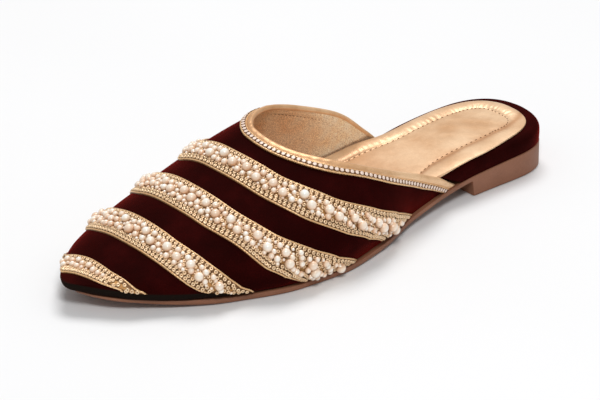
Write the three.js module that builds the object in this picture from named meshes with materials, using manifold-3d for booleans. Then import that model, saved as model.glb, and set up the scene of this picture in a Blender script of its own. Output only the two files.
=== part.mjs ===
import * as THREE from "three";
import { mergeVertices } from "three/addons/utils/BufferGeometryUtils.js";
import Module from "manifold-3d";

// Sizes in millimetres. X runs from the heel to the toe, Y to the outer side, Z up.
const SOLE_TOE = 259;
const HEEL_BACK = -2.5;
const HEEL_ROUND = 28;
const HEEL_FULLNESS = 2.8;
const SOLE_TOE_ROUND = 14;
const SOLE_EDGE = 0.9;
const SOLE_THICKNESS = 2.5;
const HEEL_BREAST = 50;
const BREAST_SLOPE = 1.2;
const FIT_GAP = 0.3;
const UPPER_TIP = 261.4;
const UPPER_TOE_ROUND = 28;
const UPPER_WALL = 2;
const UPPER_TURN = THREE.MathUtils.degToRad(110);
const BOARD_EDGE = 2.2;
const BOARD_COVERED_INSET = 6.2;
const SOCK_INSET = 2.6;
const SOCK_TOE = 249;
const SOCK_RIM = 1.2;
const SOCK_RIM_WIDTH = 5;
const SOCK_MIDDLE = 0.8;
const PEARL_RADIUS = 2;
const TOE_PEARL_RADIUS = 1.5;
const PEARL_SPACING = 9.6;
const PEARL_SEAT = 2.5;
const PEARL_SWAY = 0.05;
const PEARL_END = 0.95;
const COLUMNS = 32;

// Plan of the sole: reach to each side of the line from heel to toe, before the ends are rounded.
const OUTLINE = [
  { x: -3, outer: 25.4, inner: 24.4 },
  { x: 30, outer: 26.6, inner: 26.4 },
  { x: 60, outer: 28.3, inner: 24.6 },
  { x: 90, outer: 33.8, inner: 22.2 },
  { x: 120, outer: 45, inner: 28.5 },
  { x: 150, outer: 51, inner: 40.2 },
  { x: 170, outer: 50.4, inner: 42.5 },
  { x: 200, outer: 42, inner: 39.8 },
  { x: 225, outer: 31.5, inner: 31.8 },
  { x: 245, outer: 19.6, inner: 20.6 },
  { x: 262, outer: 9.4, inner: 9.6 },
];

// Height of the sole's top face above the floor and thickness of the board that lies on it.
const PROFILE = [
  { x: -3, top: 12.4, board: 7.9 },
  { x: 50, top: 10.1, board: 7.9 },
  { x: 70, top: 7.8, board: 7.9 },
  { x: 95, top: 5.1, board: 7.4 },
  { x: 120, top: 3.3, board: 5.8 },
  { x: 146, top: 2.5, board: 4.4 },
  { x: 194, top: 2.5, board: 3.4 },
  { x: 218, top: 3.4, board: 3.2 },
  { x: 240, top: 5.5, board: 3 },
  { x: 262, top: 8.9, board: 3 },
];

// Sections of the upper: ridge height above the floor, ridge shift to the side,
// overhang past the sole, and height of the widest place above the feather line.
const SECTIONS = [
  { x: 55, ridge: 58, shift: -10, overhang: 0.5, widest: 13 },
  { x: 100, ridge: 58, shift: -10, overhang: 0.9, widest: 11 },
  { x: 125, ridge: 57, shift: -9.2, overhang: 1.3, widest: 9.6 },
  { x: 150, ridge: 50.8, shift: -7.6, overhang: 1.7, widest: 8.1 },
  { x: 175, ridge: 41.8, shift: -6.2, overhang: 1.9, widest: 6.7 },
  { x: 200, ridge: 32.7, shift: -4.7, overhang: 2, widest: 5.3 },
  { x: 225, ridge: 23.8, shift: -3.2, overhang: 2, widest: 5.2 },
  { x: 245, ridge: 16.7, shift: -2, overhang: 2, widest: 5.2 },
  { x: 262, ridge: 11.5, shift: -1, overhang: 2, widest: 5.2 },
];

// Lines over the upper from the inner feather across the crown to the outer feather, as X places.
const LINES = {
  collar: { inFoot: 60, inSide: 88, inCrown: 138, outCrown: 151.5, outSide: 107.5, outFoot: 61.5 },
  trim: { inFoot: 67, inSide: 98, inCrown: 146, outCrown: 156, outSide: 119, outFoot: 69 },
  rear4: { inFoot: 86, inSide: 132, inCrown: 163, outCrown: 163, outSide: 137.5, outFoot: 91 },
  front4: { inFoot: 110, inSide: 152, inCrown: 177, outCrown: 176.3, outSide: 157.5, outFoot: 117 },
  rear3: { inFoot: 132, inSide: 170, inCrown: 187.4, outCrown: 187.5, outSide: 173.3, outFoot: 137 },
  front3: { inFoot: 160, inSide: 189, inCrown: 202.5, outCrown: 202.2, outSide: 192.3, outFoot: 167 },
  rear2: { inFoot: 186, inSide: 205, inCrown: 213.4, outCrown: 214, outSide: 207.6, outFoot: 189 },
  front2: { inFoot: 206, inSide: 223, inCrown: 228.6, outCrown: 228, outSide: 223.9, outFoot: 207 },
  rear1: { inFoot: 227, inSide: 242, inCrown: 243.6, outCrown: 243.3, outSide: 241, outFoot: 228 },
  front1: { inFoot: 237, inSide: 253, inCrown: 254, outCrown: 252.6, outSide: 250.4, outFoot: 237 },
};

// Cross profile of a jewelled band: share of its width from rear to front, and height off the upper.
const BAND_PROFILE = [
  { share: 0, height: 1.3 },
  { share: 0.24, height: 1.4 },
  { share: 0.33, height: 2.2 },
  { share: 0.67, height: 2.2 },
  { share: 0.76, height: 1.4 },
  { share: 1, height: 1.3 },
];

// Cross profile of the rolled binding: share of the collar trim's width, and height off the upper,
// which turns negative inside the wall.
const BINDING_PROFILE = [
  { share: 0.5, height: 0.35 },
  { share: 0.5, height: 1 },
  { share: 0.2, height: 1.5 },
  { share: -0.08, height: 1.2 },
  { share: -0.24, height: 0 },
  { share: -0.28, height: -1 },
  { share: -0.24, height: -1.9 },
  { share: -0.08, height: -2.75 },
  { share: 0.2, height: -2.85 },
  { share: 0.5, height: -2.75 },
  { share: 0.5, height: -2.35 },
  { share: 0, height: -2.35 },
  { share: -0.07, height: -2.35 },
  { share: -0.07, height: 0.35 },
  { share: 0, height: 0.35 },
];

// Cross profile of the stone chain beside the binding.
const CHAIN_PROFILE = [
  { share: 0.56, height: 0.3 },
  { share: 0.56, height: 1.2 },
  { share: 0.64, height: 1.9 },
  { share: 0.84, height: 1.9 },
  { share: 0.92, height: 1.2 },
  { share: 1, height: 1.2 },
  { share: 1, height: 0.3 },
];

// Smooth curve through one column of a table, without overshoot between its rows.
function along(table, column, x) {
  const last = table.length - 2;
  let i = table.findIndex((row) => row.x > x) - 1;
  if (i === -2) i = last;
  i = THREE.MathUtils.clamp(i, 0, last);
  const rise = (k) => (table[k + 1][column] - table[k][column]) / (table[k + 1].x - table[k].x);
  const slope = (k) => {
    if (k === 0) return rise(0);
    if (k === last + 1) return rise(last);
    const before = rise(k - 1);
    const after = rise(k);
    return before * after > 0 ? (2 * before * after) / (before + after) : 0;
  };
  const step = table[i + 1].x - table[i].x;
  const u = THREE.MathUtils.clamp((x - table[i].x) / step, 0, 1);
  const a = table[i][column];
  const b = table[i + 1][column];
  const ease = u * u * (3 - 2 * u);
  return a + (b - a) * ease + step * u * (1 - u) * (slope(i) * (1 - u) - slope(i + 1) * u);
}

// Place of a named line at t, from -1 on the inner feather to 1 on the outer feather.
function lineX(name, t) {
  const p = Object.values(LINES[name]);
  const place = ((t + 1) / 2) * (p.length - 1);
  const i = Math.min(Math.floor(place), p.length - 2);
  const u = place - i;
  const before = i > 0 ? p[i - 1] : 2 * p[0] - p[1];
  const after = i + 2 < p.length ? p[i + 2] : 2 * p[i + 1] - p[i];
  const m0 = (p[i + 1] - before) / 2;
  const m1 = (after - p[i]) / 2;
  const ease = u * u * (3 - 2 * u);
  return p[i] + (p[i + 1] - p[i]) * ease + u * (1 - u) * (m0 * (1 - u) - m1 * u);
}

const lerp = THREE.MathUtils.lerp;
const columns = Array.from({ length: COLUMNS + 1 }, (_, k) => (2 * k) / COLUMNS - 1);

// Point on the last at x and t, with the surface moved inwards by inset.
function lastPoint(x, t, inset) {
  const reachToTip = UPPER_TOE_ROUND - inset;
  const u = THREE.MathUtils.clamp((x - UPPER_TIP + UPPER_TOE_ROUND) / reachToTip, 0, 1);
  const round = Math.sqrt(1 - u * u);
  const sign = t < 0 ? -1 : 1;
  const feather = along(PROFILE, "top", Math.min(x, SOLE_TOE)) + FIT_GAP;
  const widest = feather + along(SECTIONS, "widest", x);
  const ridge = along(SECTIONS, "ridge", x) - inset;
  const side = along(OUTLINE, t < 0 ? "inner" : "outer", x);
  const half = (side + along(SECTIONS, "overhang", x) - inset) * round;
  const shift = along(SECTIONS, "shift", x) * round;
  const angle = Math.abs(t) * UPPER_TURN;
  const up = Math.cos(angle);
  const y = shift + sign * (half - sign * shift) * Math.sin(angle);
  const below = ((widest - feather) * up) / Math.abs(Math.cos(UPPER_TURN));
  const rise = up > 0 ? (ridge - widest) * round * up : below;
  return new THREE.Vector3(x, y, widest + rise);
}

// Half width of the sole's plan at x, drawn in by inset on all sides.
function planReach(x, side, inset, toeEnd = SOLE_TOE - inset) {
  const heelRound = HEEL_ROUND - inset;
  const toeRound = SOLE_TOE_ROUND - Math.min(inset, 5);
  const h = THREE.MathUtils.clamp(1 - (x - HEEL_BACK - inset) / heelRound, 0, 1);
  const t = THREE.MathUtils.clamp(1 - (toeEnd - x) / toeRound, 0, 1);
  const heel = Math.pow(1 - Math.pow(h, HEEL_FULLNESS), 1 / HEEL_FULLNESS);
  const toe = Math.sqrt(1 - t * t);
  return Math.max(along(OUTLINE, side, x) - inset, 0) * heel * toe;
}

// Places along the sole, closer together where the ends turn.
function stations(start, end, spacing) {
  const turn = [0, 0.02, 0.08, 0.18, 0.36, 0.62, 1];
  const places = turn.map((f) => start + f * (HEEL_ROUND - 4));
  const from = places[places.length - 1];
  const to = end - SOLE_TOE_ROUND + 3;
  const count = Math.round((to - from) / spacing);
  for (let k = 1; k <= count; k += 1) places.push(lerp(from, to, k / count));
  [0.4, 0.7, 0.88, 0.97, 1].forEach((f) => places.push(lerp(to, end, f)));
  return places;
}

// Two triangles between neighbours a and b and the pair one ring on, split along either diagonal.
function quad(a, b, count, forwards) {
  if (forwards) return [[a, b, b + count], [a, b + count, a + count]];
  return [[a, b, a + count], [b, b + count, a + count]];
}

// Solid for joining, from a closed geometry.
const wasm = await Module();
wasm.setup();
function solid(geometry) {
  const vertProperties = new Float32Array(geometry.getAttribute("position").array);
  const triVerts = new Uint32Array(geometry.index.array);
  return new wasm.Manifold(new wasm.Mesh({ numProp: 3, vertProperties, triVerts }));
}

// Closed solid from rings of points; a ring that shrinks to a line closes its end by itself.
function skin(rings) {
  const positions = rings.flat().flatMap((p) => [p.x, p.y, p.z]);
  const count = rings[0].length;
  const faces = [];
  for (let r = 0; r + 1 < rings.length; r += 1) {
    for (let k = 0; k < count; k += 1) {
      faces.push(...quad(r * count + k, r * count + ((k + 1) % count), count, true));
    }
  }
  return closed(positions, faces);
}

// Joins equal points, drops empty triangles and turns the faces outwards.
function closed(positions, faces) {
  const raw = new THREE.BufferGeometry();
  raw.setAttribute("position", new THREE.Float32BufferAttribute(positions, 3));
  raw.setIndex(faces.flat());
  const joined = mergeVertices(raw, 1e-3);
  const index = Array.from(joined.index.array);
  let kept = [];
  for (let k = 0; k < index.length; k += 3) {
    const [a, b, c] = index.slice(k, k + 3);
    if (a !== b && b !== c && a !== c) kept.push([a, b, c]);
  }
  const place = joined.getAttribute("position");
  const corner = (k) => new THREE.Vector3().fromBufferAttribute(place, k);
  const volume = kept.reduce((sum, [a, b, c]) => sum + corner(a).dot(corner(b).cross(corner(c))), 0);
  if (volume < 0) kept = kept.map(([a, b, c]) => [a, c, b]);
  joined.setIndex(kept.flat());
  return joined;
}

// Outsole: thin forefoot and waist with toe spring, and a heel block down to the floor.
function outsoleRing(x, bottom) {
  const outer = planReach(x, "outer", 0);
  const inner = planReach(x, "inner", 0);
  const top = along(PROFILE, "top", x);
  const cut = (reach) => Math.max(reach - SOLE_EDGE, reach * 0.5);
  return [
    new THREE.Vector3(x, cut(outer), bottom),
    new THREE.Vector3(x, outer, bottom + SOLE_EDGE),
    new THREE.Vector3(x, outer, top),
    new THREE.Vector3(x, -inner, top),
    new THREE.Vector3(x, -inner, bottom + SOLE_EDGE),
    new THREE.Vector3(x, -cut(inner), bottom),
  ];
}

function outsole() {
  const places = stations(HEEL_BACK, SOLE_TOE, 8);
  const underside = (x) => along(PROFILE, "top", x) - SOLE_THICKNESS;
  const breast = HEEL_BREAST + BREAST_SLOPE;
  const heel = places.filter((x) => x < HEEL_BREAST - 2).map((x) => outsoleRing(x, 0));
  const front = places.filter((x) => x > breast + 2).map((x) => outsoleRing(x, underside(x)));
  const step = [outsoleRing(HEEL_BREAST, 0), outsoleRing(breast, underside(breast))];
  return skin([...heel, ...step, ...front]);
}

// Board: full width where it shows behind the collar, drawn in where the upper wraps it.
const BOARD_STEP = {
  outer: { foot: 58.2, brow: 71 },
  inner: { foot: 56.8, brow: 63.6 },
};

// Ring of the board with each corner at its own place along the shoe.
function boardRing(placeAt, inset) {
  const corner = (side, level, drawIn) => {
    const x = placeAt(side, level);
    const thick = along(PROFILE, "board", x);
    const reach = planReach(x, side, inset);
    const y = Math.max(reach - drawIn, reach * 0.5);
    const z = along(PROFILE, "top", x) + FIT_GAP + level * thick;
    return new THREE.Vector3(x, side === "outer" ? y : -y, z);
  };
  const half = (side) => [
    corner(side, 0, 0),
    corner(side, 0.78, 0),
    corner(side, 0.94, 0.7),
    corner(side, 1, BOARD_EDGE),
  ];
  return [...half("outer"), ...half("inner").reverse()];
}

function board() {
  const stepX = (side, level) => lerp(BOARD_STEP[side].foot, BOARD_STEP[side].brow, level);
  const rear = [0, 0.006, 0.025, 0.06, 0.12, 0.22, 0.36, 0.55, 0.78, 1];
  const shown = rear.map((f) => boardRing((side, level) => lerp(HEEL_BACK, stepX(side, level), f), 0));
  const toe = SOLE_TOE - BOARD_COVERED_INSET;
  const front = [0, 0.05, 0.1, 0.15, 0.2, 0.26, 0.33, 0.4, 0.5, 0.6, 0.7, 0.76, 0.82, 0.88, 0.93, 0.97, 0.99, 1];
  const hidden = front.map((f) => {
    const placeAt = (side, level) => lerp(stepX(side, level) + 0.4, toe, f);
    return boardRing(placeAt, BOARD_COVERED_INSET);
  });
  return skin([...shown, ...hidden]);
}

// Sock lining: thin padded sheet with a raised rim, on top of the board from heel to toe.
function sock() {
  const ring = (x) => {
    const base = along(PROFILE, "top", x) + along(PROFILE, "board", x) + 2 * FIT_GAP;
    const half = (side) => {
      const reach = planReach(x, side, SOCK_INSET, SOCK_TOE);
      const dip = (SOCK_RIM - SOCK_MIDDLE) * Math.min(reach / 14, 1);
      const at = (drawIn, least, height) => {
        const y = Math.max(reach - drawIn, reach * least);
        return new THREE.Vector3(x, side === "outer" ? y : -y, base + height);
      };
      return [
        at(0, 1, 0),
        at(0, 1, SOCK_RIM * 0.5),
        at(0.8, 0.8, SOCK_RIM),
        at(SOCK_RIM_WIDTH, 0.5, SOCK_RIM),
        at(SOCK_RIM_WIDTH + 2, 0.3, SOCK_RIM - dip),
      ];
    };
    return [...half("outer"), ...half("inner").reverse()];
  };
  return skin(stations(HEEL_BACK + SOCK_INSET, SOCK_TOE, 9).map(ring));
}

// Rows of the upper from the collar to the toe tip, as functions of t.
const ROW_LINES = Object.keys(LINES);
const TIP_ROWS = [0.3, 0.56, 0.77, 0.92, 1];

function upperRows(inset) {
  const rows = [];
  ROW_LINES.forEach((name, k) => {
    rows.push((t) => lineX(name, t));
    const underTrim = name === "collar" || name.startsWith("rear");
    if (underTrim) rows.push((t) => lerp(lineX(name, t), lineX(ROW_LINES[k + 1], t), 0.5));
  });
  const first = ROW_LINES[ROW_LINES.length - 1];
  TIP_ROWS.forEach((f) => rows.push((t) => lerp(lineX(first, t), UPPER_TIP - inset, f)));
  return rows.map((row) => columns.map((t) => lastPoint(row(t), t, inset)));
}

// Upper: a hollow wall over the last, open at the collar and underneath.
function upper() {
  const outside = upperRows(0);
  const inside = upperRows(UPPER_WALL);
  const rows = outside.map((row, r) => [...row, ...inside[r].slice().reverse()]);
  const count = rows[0].length;
  const positions = rows.flat().flatMap((p) => [p.x, p.y, p.z]);
  const faces = [];
  for (let r = 0; r + 1 < rows.length; r += 1) {
    for (let k = 0; k < count; k += 1) {
      const a = r * count + k;
      const b = r * count + ((k + 1) % count);
      faces.push(...quad(a, b, count, k <= COLUMNS));
    }
  }
  for (let k = 0; k < COLUMNS; k += 1) {
    const mate = count - 1 - k;
    faces.push([k, mate, mate - 1], [k, mate - 1, k + 1]);
  }
  return closed(positions, faces);
}

// Strip that lies over the upper between two lines, with its own cross profile.
function overlay(rear, front, profile) {
  const rings = columns.map((t) => profile.map(({ share, height }) => {
    const x = lerp(lineX(rear, t), lineX(front, t), share);
    return lastPoint(x, t, -height);
  }));
  const count = profile.length;
  const positions = rings.flat().flatMap((p) => [p.x, p.y, p.z]);
  const flat = profile.map(({ share, height }) => new THREE.Vector2(share * 10, height));
  const turn = THREE.ShapeUtils.isClockWise(flat) ? ([a, b, c]) => [a, c, b] : (face) => face;
  const cap = THREE.ShapeUtils.triangulateShape(flat, []).map(turn);
  const faces = [];
  for (let r = 0; r + 1 < rings.length; r += 1) {
    for (let k = 0; k < count; k += 1) {
      const a = r * count + k;
      const b = r * count + ((k + 1) % count);
      const forwards = profile[k].share <= profile[(k + 1) % count].share;
      faces.push(...quad(a, b, count, forwards));
    }
  }
  const lastRing = (rings.length - 1) * count;
  cap.forEach(([a, b, c]) => faces.push([a, c, b], [a + lastRing, b + lastRing, c + lastRing]));
  return closed(positions, faces);
}

// Places of the large pearls along the middle of a band, evenly spaced over the crown.
function pearlPlaces(rear, front) {
  const middle = (t, share) => lastPoint(lerp(lineX(rear, t), lineX(front, t), share), t, -PEARL_SEAT);
  const places = [];
  let walked = PEARL_SPACING / 2;
  let before = middle(-PEARL_END, 0.5);
  for (let t = -PEARL_END; t <= PEARL_END; t += 0.002) {
    const here = middle(t, 0.5);
    walked += here.distanceTo(before);
    before = here;
    if (walked < PEARL_SPACING) continue;
    walked -= PEARL_SPACING;
    const sway = places.length % 2 ? PEARL_SWAY : -PEARL_SWAY;
    places.push(middle(t, 0.5 + sway));
  }
  return places;
}

// Jewelled band: a strip with a raised bed, and a row of large pearls set into the bed.
function band(rear, front, pearlRadius) {
  const under = [1, 0.5, 0].map((share) => ({ share, height: FIT_GAP }));
  let body = solid(overlay(rear, front, [...BAND_PROFILE, ...under]));
  pearlPlaces(rear, front).forEach((spot) => {
    const pearl = new THREE.SphereGeometry(pearlRadius, 6, 4);
    pearl.deleteAttribute("normal");
    pearl.deleteAttribute("uv");
    pearl.translate(spot.x, spot.y, spot.z);
    body = body.add(solid(mergeVertices(pearl)));
  });
  const mesh = body.getMesh();
  const joined = new THREE.BufferGeometry();
  joined.setAttribute("position", new THREE.BufferAttribute(mesh.vertProperties, 3));
  joined.setIndex(new THREE.BufferAttribute(mesh.triVerts, 1));
  return joined;
}

const velvet = new THREE.MeshStandardMaterial({ color: 0x3a0c12, roughness: 0.95, metalness: 0 });
const velvetWrap = new THREE.MeshStandardMaterial({ color: 0x3f0e14, roughness: 0.95, metalness: 0 });
const tanRubber = new THREE.MeshStandardMaterial({ color: 0x97694c, roughness: 0.6, metalness: 0 });
const goldLeather = new THREE.MeshStandardMaterial({ color: 0xd8b083, roughness: 0.4, metalness: 0.4 });
const goldBinding = new THREE.MeshStandardMaterial({ color: 0xc9a06a, roughness: 0.35, metalness: 0.5 });
const stoneChain = new THREE.MeshStandardMaterial({ color: 0xe6d3bd, roughness: 0.3, metalness: 0.2 });
const jewelled = new THREE.MeshStandardMaterial({ color: 0xdcb892, roughness: 0.4, metalness: 0.2 });

const shoe = new THREE.Group();
function place(name, geometry, material) {
  geometry.computeVertexNormals();
  const mesh = new THREE.Mesh(geometry, material);
  mesh.name = name;
  shoe.add(mesh);
}

place("outsole", outsole(), tanRubber);
place("board", board(), velvetWrap);
place("sock_lining", sock(), goldLeather);
place("upper", upper(), velvet);
place("collar_binding", overlay("collar", "trim", BINDING_PROFILE), goldBinding);
place("collar_chain", overlay("collar", "trim", CHAIN_PROFILE), stoneChain);
[1, 2, 3, 4].forEach((n) => {
  const pearlRadius = n === 1 ? TOE_PEARL_RADIUS : PEARL_RADIUS;
  place(`band_${n}`, band(`rear${n}`, `front${n}`, pearlRadius), jewelled.clone());
});

// The origin is the middle of the bounding box at floor level.
const box = new THREE.Box3().setFromObject(shoe);
const middle = box.getCenter(new THREE.Vector3());
shoe.position.set(-middle.x, -middle.y, -box.min.z);
shoe.updateMatrixWorld(true);

export default shoe;
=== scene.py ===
import math

import bpy
import numpy as np
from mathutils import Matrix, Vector


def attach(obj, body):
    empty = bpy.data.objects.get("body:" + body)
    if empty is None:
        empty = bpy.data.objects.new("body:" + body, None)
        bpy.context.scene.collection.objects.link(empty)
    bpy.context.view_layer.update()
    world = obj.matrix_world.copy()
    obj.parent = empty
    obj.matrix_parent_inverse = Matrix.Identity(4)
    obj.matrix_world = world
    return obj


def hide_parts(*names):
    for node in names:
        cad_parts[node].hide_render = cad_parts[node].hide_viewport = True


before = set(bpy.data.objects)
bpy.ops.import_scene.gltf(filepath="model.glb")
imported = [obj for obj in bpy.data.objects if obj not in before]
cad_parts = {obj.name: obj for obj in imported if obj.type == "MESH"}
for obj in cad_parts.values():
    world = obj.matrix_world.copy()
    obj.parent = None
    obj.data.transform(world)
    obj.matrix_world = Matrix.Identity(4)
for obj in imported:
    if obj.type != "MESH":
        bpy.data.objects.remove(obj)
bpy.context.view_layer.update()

# Sizes in millimetres along the shoe: X from heel to toe, Y to the outer side, Z up.
MM = 0.001
TO_FRAME = np.array([-129.45, -4.1116, 0.0])
UP = np.array([0.0, 0.0, 1.0])
SOLE_TOE = 259.0
HEEL_BACK = -2.5
HEEL_ROUND = 28.0
HEEL_FULLNESS = 2.8
SOLE_TOE_ROUND = 14.0
# An inset shortens the toe's rounding by no more than this.
TOE_ROUND_LOSS = 5.0
FIT_GAP = 0.3
UPPER_TIP = 261.4
UPPER_TOE_ROUND = 28.0
UPPER_TURN = math.radians(110)
# Bulge of the upper over the sole's narrow waist on the inner side: how far, where, and over what spread.
WAIST_SWELL, WAIST_PLACE, WAIST_SPREAD = 2.6, 92.0, 20.0


def mix(a, b, share):
    return a + (b - a) * share


def ease(low, high, x):
    """Soft step from 0 at low to 1 at high."""
    u = np.clip((x - low) / (high - low), 0, 1)
    return u * u * (3 - 2 * u)


def hump(x, place, spread):
    """Soft hump, 1 at place."""
    return np.exp(-(((x - place) / spread) ** 2))


def waves(u, v, rows):
    """Sum of sine waves; a row is (size, turn per u, turn per v, start)."""
    return sum(size * np.sin(by_u * u + by_v * v + start) for size, by_u, by_v, start in rows)


def curve(xs, ys, slope):
    """Curve through points with a slope at each."""
    def at(x):
        i = np.clip(np.searchsorted(xs, x, side="right") - 1, 0, len(xs) - 2)
        step = xs[i + 1] - xs[i]
        u = np.clip((x - xs[i]) / step, 0, 1)
        turn = slope[i] * (1 - u) - slope[i + 1] * u
        return ys[i] + (ys[i + 1] - ys[i]) * ease(0, 1, u) + step * u * (1 - u) * turn

    return at


def smooth_curve(xs, ys):
    """Curve through a table's column without overshoot between its rows."""
    rise = np.diff(ys) / np.diff(xs)
    slope = np.concatenate([rise[:1], np.zeros(len(rise) - 1), rise[-1:]])
    for k in range(1, len(rise)):
        before, after = rise[k - 1], rise[k]
        slope[k] = 2 * before * after / (before + after) if before * after > 0 else 0.0
    return curve(xs, ys, slope)


def even_curve(ys):
    """Curve through values at even steps of t from -1 to 1."""
    xs = np.linspace(-1, 1, len(ys))
    return curve(xs, ys, np.gradient(ys, xs[1] - xs[0]))


def curves(names, rows):
    """One smooth curve for each named column of a table whose first column is X."""
    grid = np.array(rows, float)
    return {name: smooth_curve(grid[:, 0], grid[:, k + 1]) for k, name in enumerate(names.split())}


# Plan of the sole: reach to each side of the line from heel to toe.
PLAN = curves("outer inner", [
    (-3, 25.4, 24.4), (30, 26.6, 26.4), (60, 28.3, 24.6), (90, 33.8, 22.2), (120, 45, 28.5), (150, 51, 40.2),
    (170, 50.4, 42.5), (200, 42, 39.8), (225, 31.5, 31.8), (245, 19.6, 20.6), (262, 9.4, 9.6),
])
# Height of the sole's top face and thickness of the board on it.
PROFILE = curves("top board", [
    (-3, 12.4, 7.9), (50, 10.1, 7.9), (70, 7.8, 7.9), (95, 5.1, 7.4), (120, 3.3, 5.8),
    (146, 2.5, 4.4), (194, 2.5, 3.4), (218, 3.4, 3.2), (240, 5.5, 3), (262, 8.9, 3),
])
# Sections of the upper over the last.
SECTION = curves("ridge shift overhang widest", [
    (55, 58, -10, 0.5, 13), (100, 58, -10, 0.9, 11), (125, 57, -9.2, 1.3, 9.6), (150, 50.8, -7.6, 1.7, 8.1),
    (175, 41.8, -6.2, 1.9, 6.7), (200, 32.7, -4.7, 2, 5.3), (225, 23.8, -3.2, 2, 5.2),
    (245, 16.7, -2, 2, 5.2), (262, 13.2, -1, 2, 4.2),
])
# Lines over the upper from the inner feather across the crown to the outer one, as X places: the topline's at
# even steps, the bands' at BAND_PLACES.
LINES = {
    "collar": (60, 72.6, 88, 113.9, 138, 150.6, 149.6, 133.9, 107.3, 81, 62.6),
    "trim": (67, 81.4, 98, 123.3, 146, 156.3, 155.4, 142.2, 116.4, 90.1, 69.6),
    "rear4": (86, 118, 148, 164, 165, 162, 147.5, 124, 110, 100.5, 92),
    "front4": (110, 141, 166, 178, 178, 175.5, 165.5, 147.5, 134.5, 125, 118),
    "rear3": (132, 160, 181, 188, 189, 187.5, 180, 165, 153.5, 144, 137),
    "front3": (160, 183, 198, 203, 203.5, 202, 195.5, 189, 182, 175.5, 169),
    "rear2": (187, 202.5, 211, 214.5, 215, 214.5, 210.5, 204.5, 200, 195, 191.5),
    "front2": (206.5, 221, 228, 229.5, 229.5, 228.5, 226, 222, 218, 211, 207),
    "rear1": (229, 242.5, 245.5, 244.5, 243.5, 243.5, 242, 240.5, 238.5, 235, 232),
    "front1": (238, 252, 257, 256, 254.5, 253, 251.5, 249, 247, 243.5, 240.5),
}

BAND_PLACES = np.array([-1, -0.75, -0.5, -0.25, 0, 0.25, 0.5, 0.7, 0.8, 0.9, 1])
LINE_CURVES = {}
for line, places in LINES.items():
    places = np.array(places, float)
    LINE_CURVES[line] = smooth_curve(BAND_PLACES, places) if line[-1].isdigit() else even_curve(places)


def line_x(name, t):
    """Place of a named line at t, from -1 on the inner feather to 1 on the outer one."""
    return LINE_CURVES[name](np.asarray(t, float))


def waist_swell(x):
    return WAIST_SWELL * hump(x, WAIST_PLACE, WAIST_SPREAD)


def feather_height(x):
    """Height of the line where the upper meets the sole."""
    return PROFILE["top"](np.minimum(x, SOLE_TOE)) + FIT_GAP


def board_top(x):
    return PROFILE["top"](x) + PROFILE["board"](x)


def last_point(x, t, height=0.0):
    """Point on the last at x and t, moved outwards by height."""
    x, t, height = np.broadcast_arrays(np.asarray(x, float), np.asarray(t, float), np.asarray(height, float))
    u = np.clip((x - UPPER_TIP + UPPER_TOE_ROUND) / (UPPER_TOE_ROUND + height), 0, 1)
    rounding = np.sqrt(1 - u * u)
    side = np.where(t < 0, -1.0, 1.0)
    feather = feather_height(x)
    widest = feather + SECTION["widest"](x)
    ridge = SECTION["ridge"](x) + height
    reach = np.where(t < 0, PLAN["inner"](x) + waist_swell(x), PLAN["outer"](x))
    half = (reach + SECTION["overhang"](x) + height) * rounding
    shift = SECTION["shift"](x) * rounding
    angle = np.abs(t) * UPPER_TURN
    up = np.cos(angle)
    y = shift + side * (half - side * shift) * np.sin(angle)
    below = (widest - feather) * up / abs(math.cos(UPPER_TURN))
    z = widest + np.where(up > 0, (ridge - widest) * rounding * up, below)
    return np.stack([x, y, z], -1)


def plan_reach(x, side, inset=0.0, toe_end=None):
    """Half width of the sole's plan at x, drawn in by inset on all sides."""
    toe_end = SOLE_TOE - inset if toe_end is None else toe_end
    h = np.clip(1 - (x - HEEL_BACK - inset) / (HEEL_ROUND - inset), 0, 1)
    t = np.clip(1 - (toe_end - x) / (SOLE_TOE_ROUND - np.minimum(inset, TOE_ROUND_LOSS)), 0, 1)
    heel = (1 - h ** HEEL_FULLNESS) ** (1 / HEEL_FULLNESS)
    return np.maximum(PLAN[side](x) - inset, 0) * heel * np.sqrt(1 - t * t)


# Making and finishing of meshes.
# Points closer than the first are one, and slivers thinner than the second go, in metres.
JOIN_WITHIN, SLIVER = 2e-6, 1e-7
SMOOTH_ANGLE = 60
# Steps to a millimetre by which a sheet's point is known again.
PLACE_STEPS = 200


def put_down_tools():
    """Object mode with nothing selected."""
    if bpy.context.object and bpy.context.object.mode != "OBJECT":
        bpy.ops.object.mode_set(mode="OBJECT")
    bpy.ops.object.select_all(action="DESELECT")


def start_from(add_primitive, name, **sizes):
    """New piece from one of the primitives, alone in hand."""
    put_down_tools()
    add_primitive(**sizes)
    piece = bpy.context.object
    piece.name = piece.data.name = name
    return piece


def in_edit(piece, work):
    """Runs work in edit mode with the whole piece selected, and leaves the piece in hand."""
    put_down_tools()
    bpy.context.view_layer.objects.active = piece
    piece.select_set(True)
    bpy.ops.object.mode_set(mode="EDIT")
    bpy.ops.mesh.select_all(action="SELECT")
    work()
    bpy.ops.object.mode_set(mode="OBJECT")


def raw_points(piece):
    flat = np.empty(len(piece.data.vertices) * 3)
    piece.data.vertices.foreach_get("co", flat)
    return flat.reshape(-1, 3)


def points_of(piece):
    """Points of a piece in the shoe's own millimetres."""
    return raw_points(piece) / MM - TO_FRAME


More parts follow.
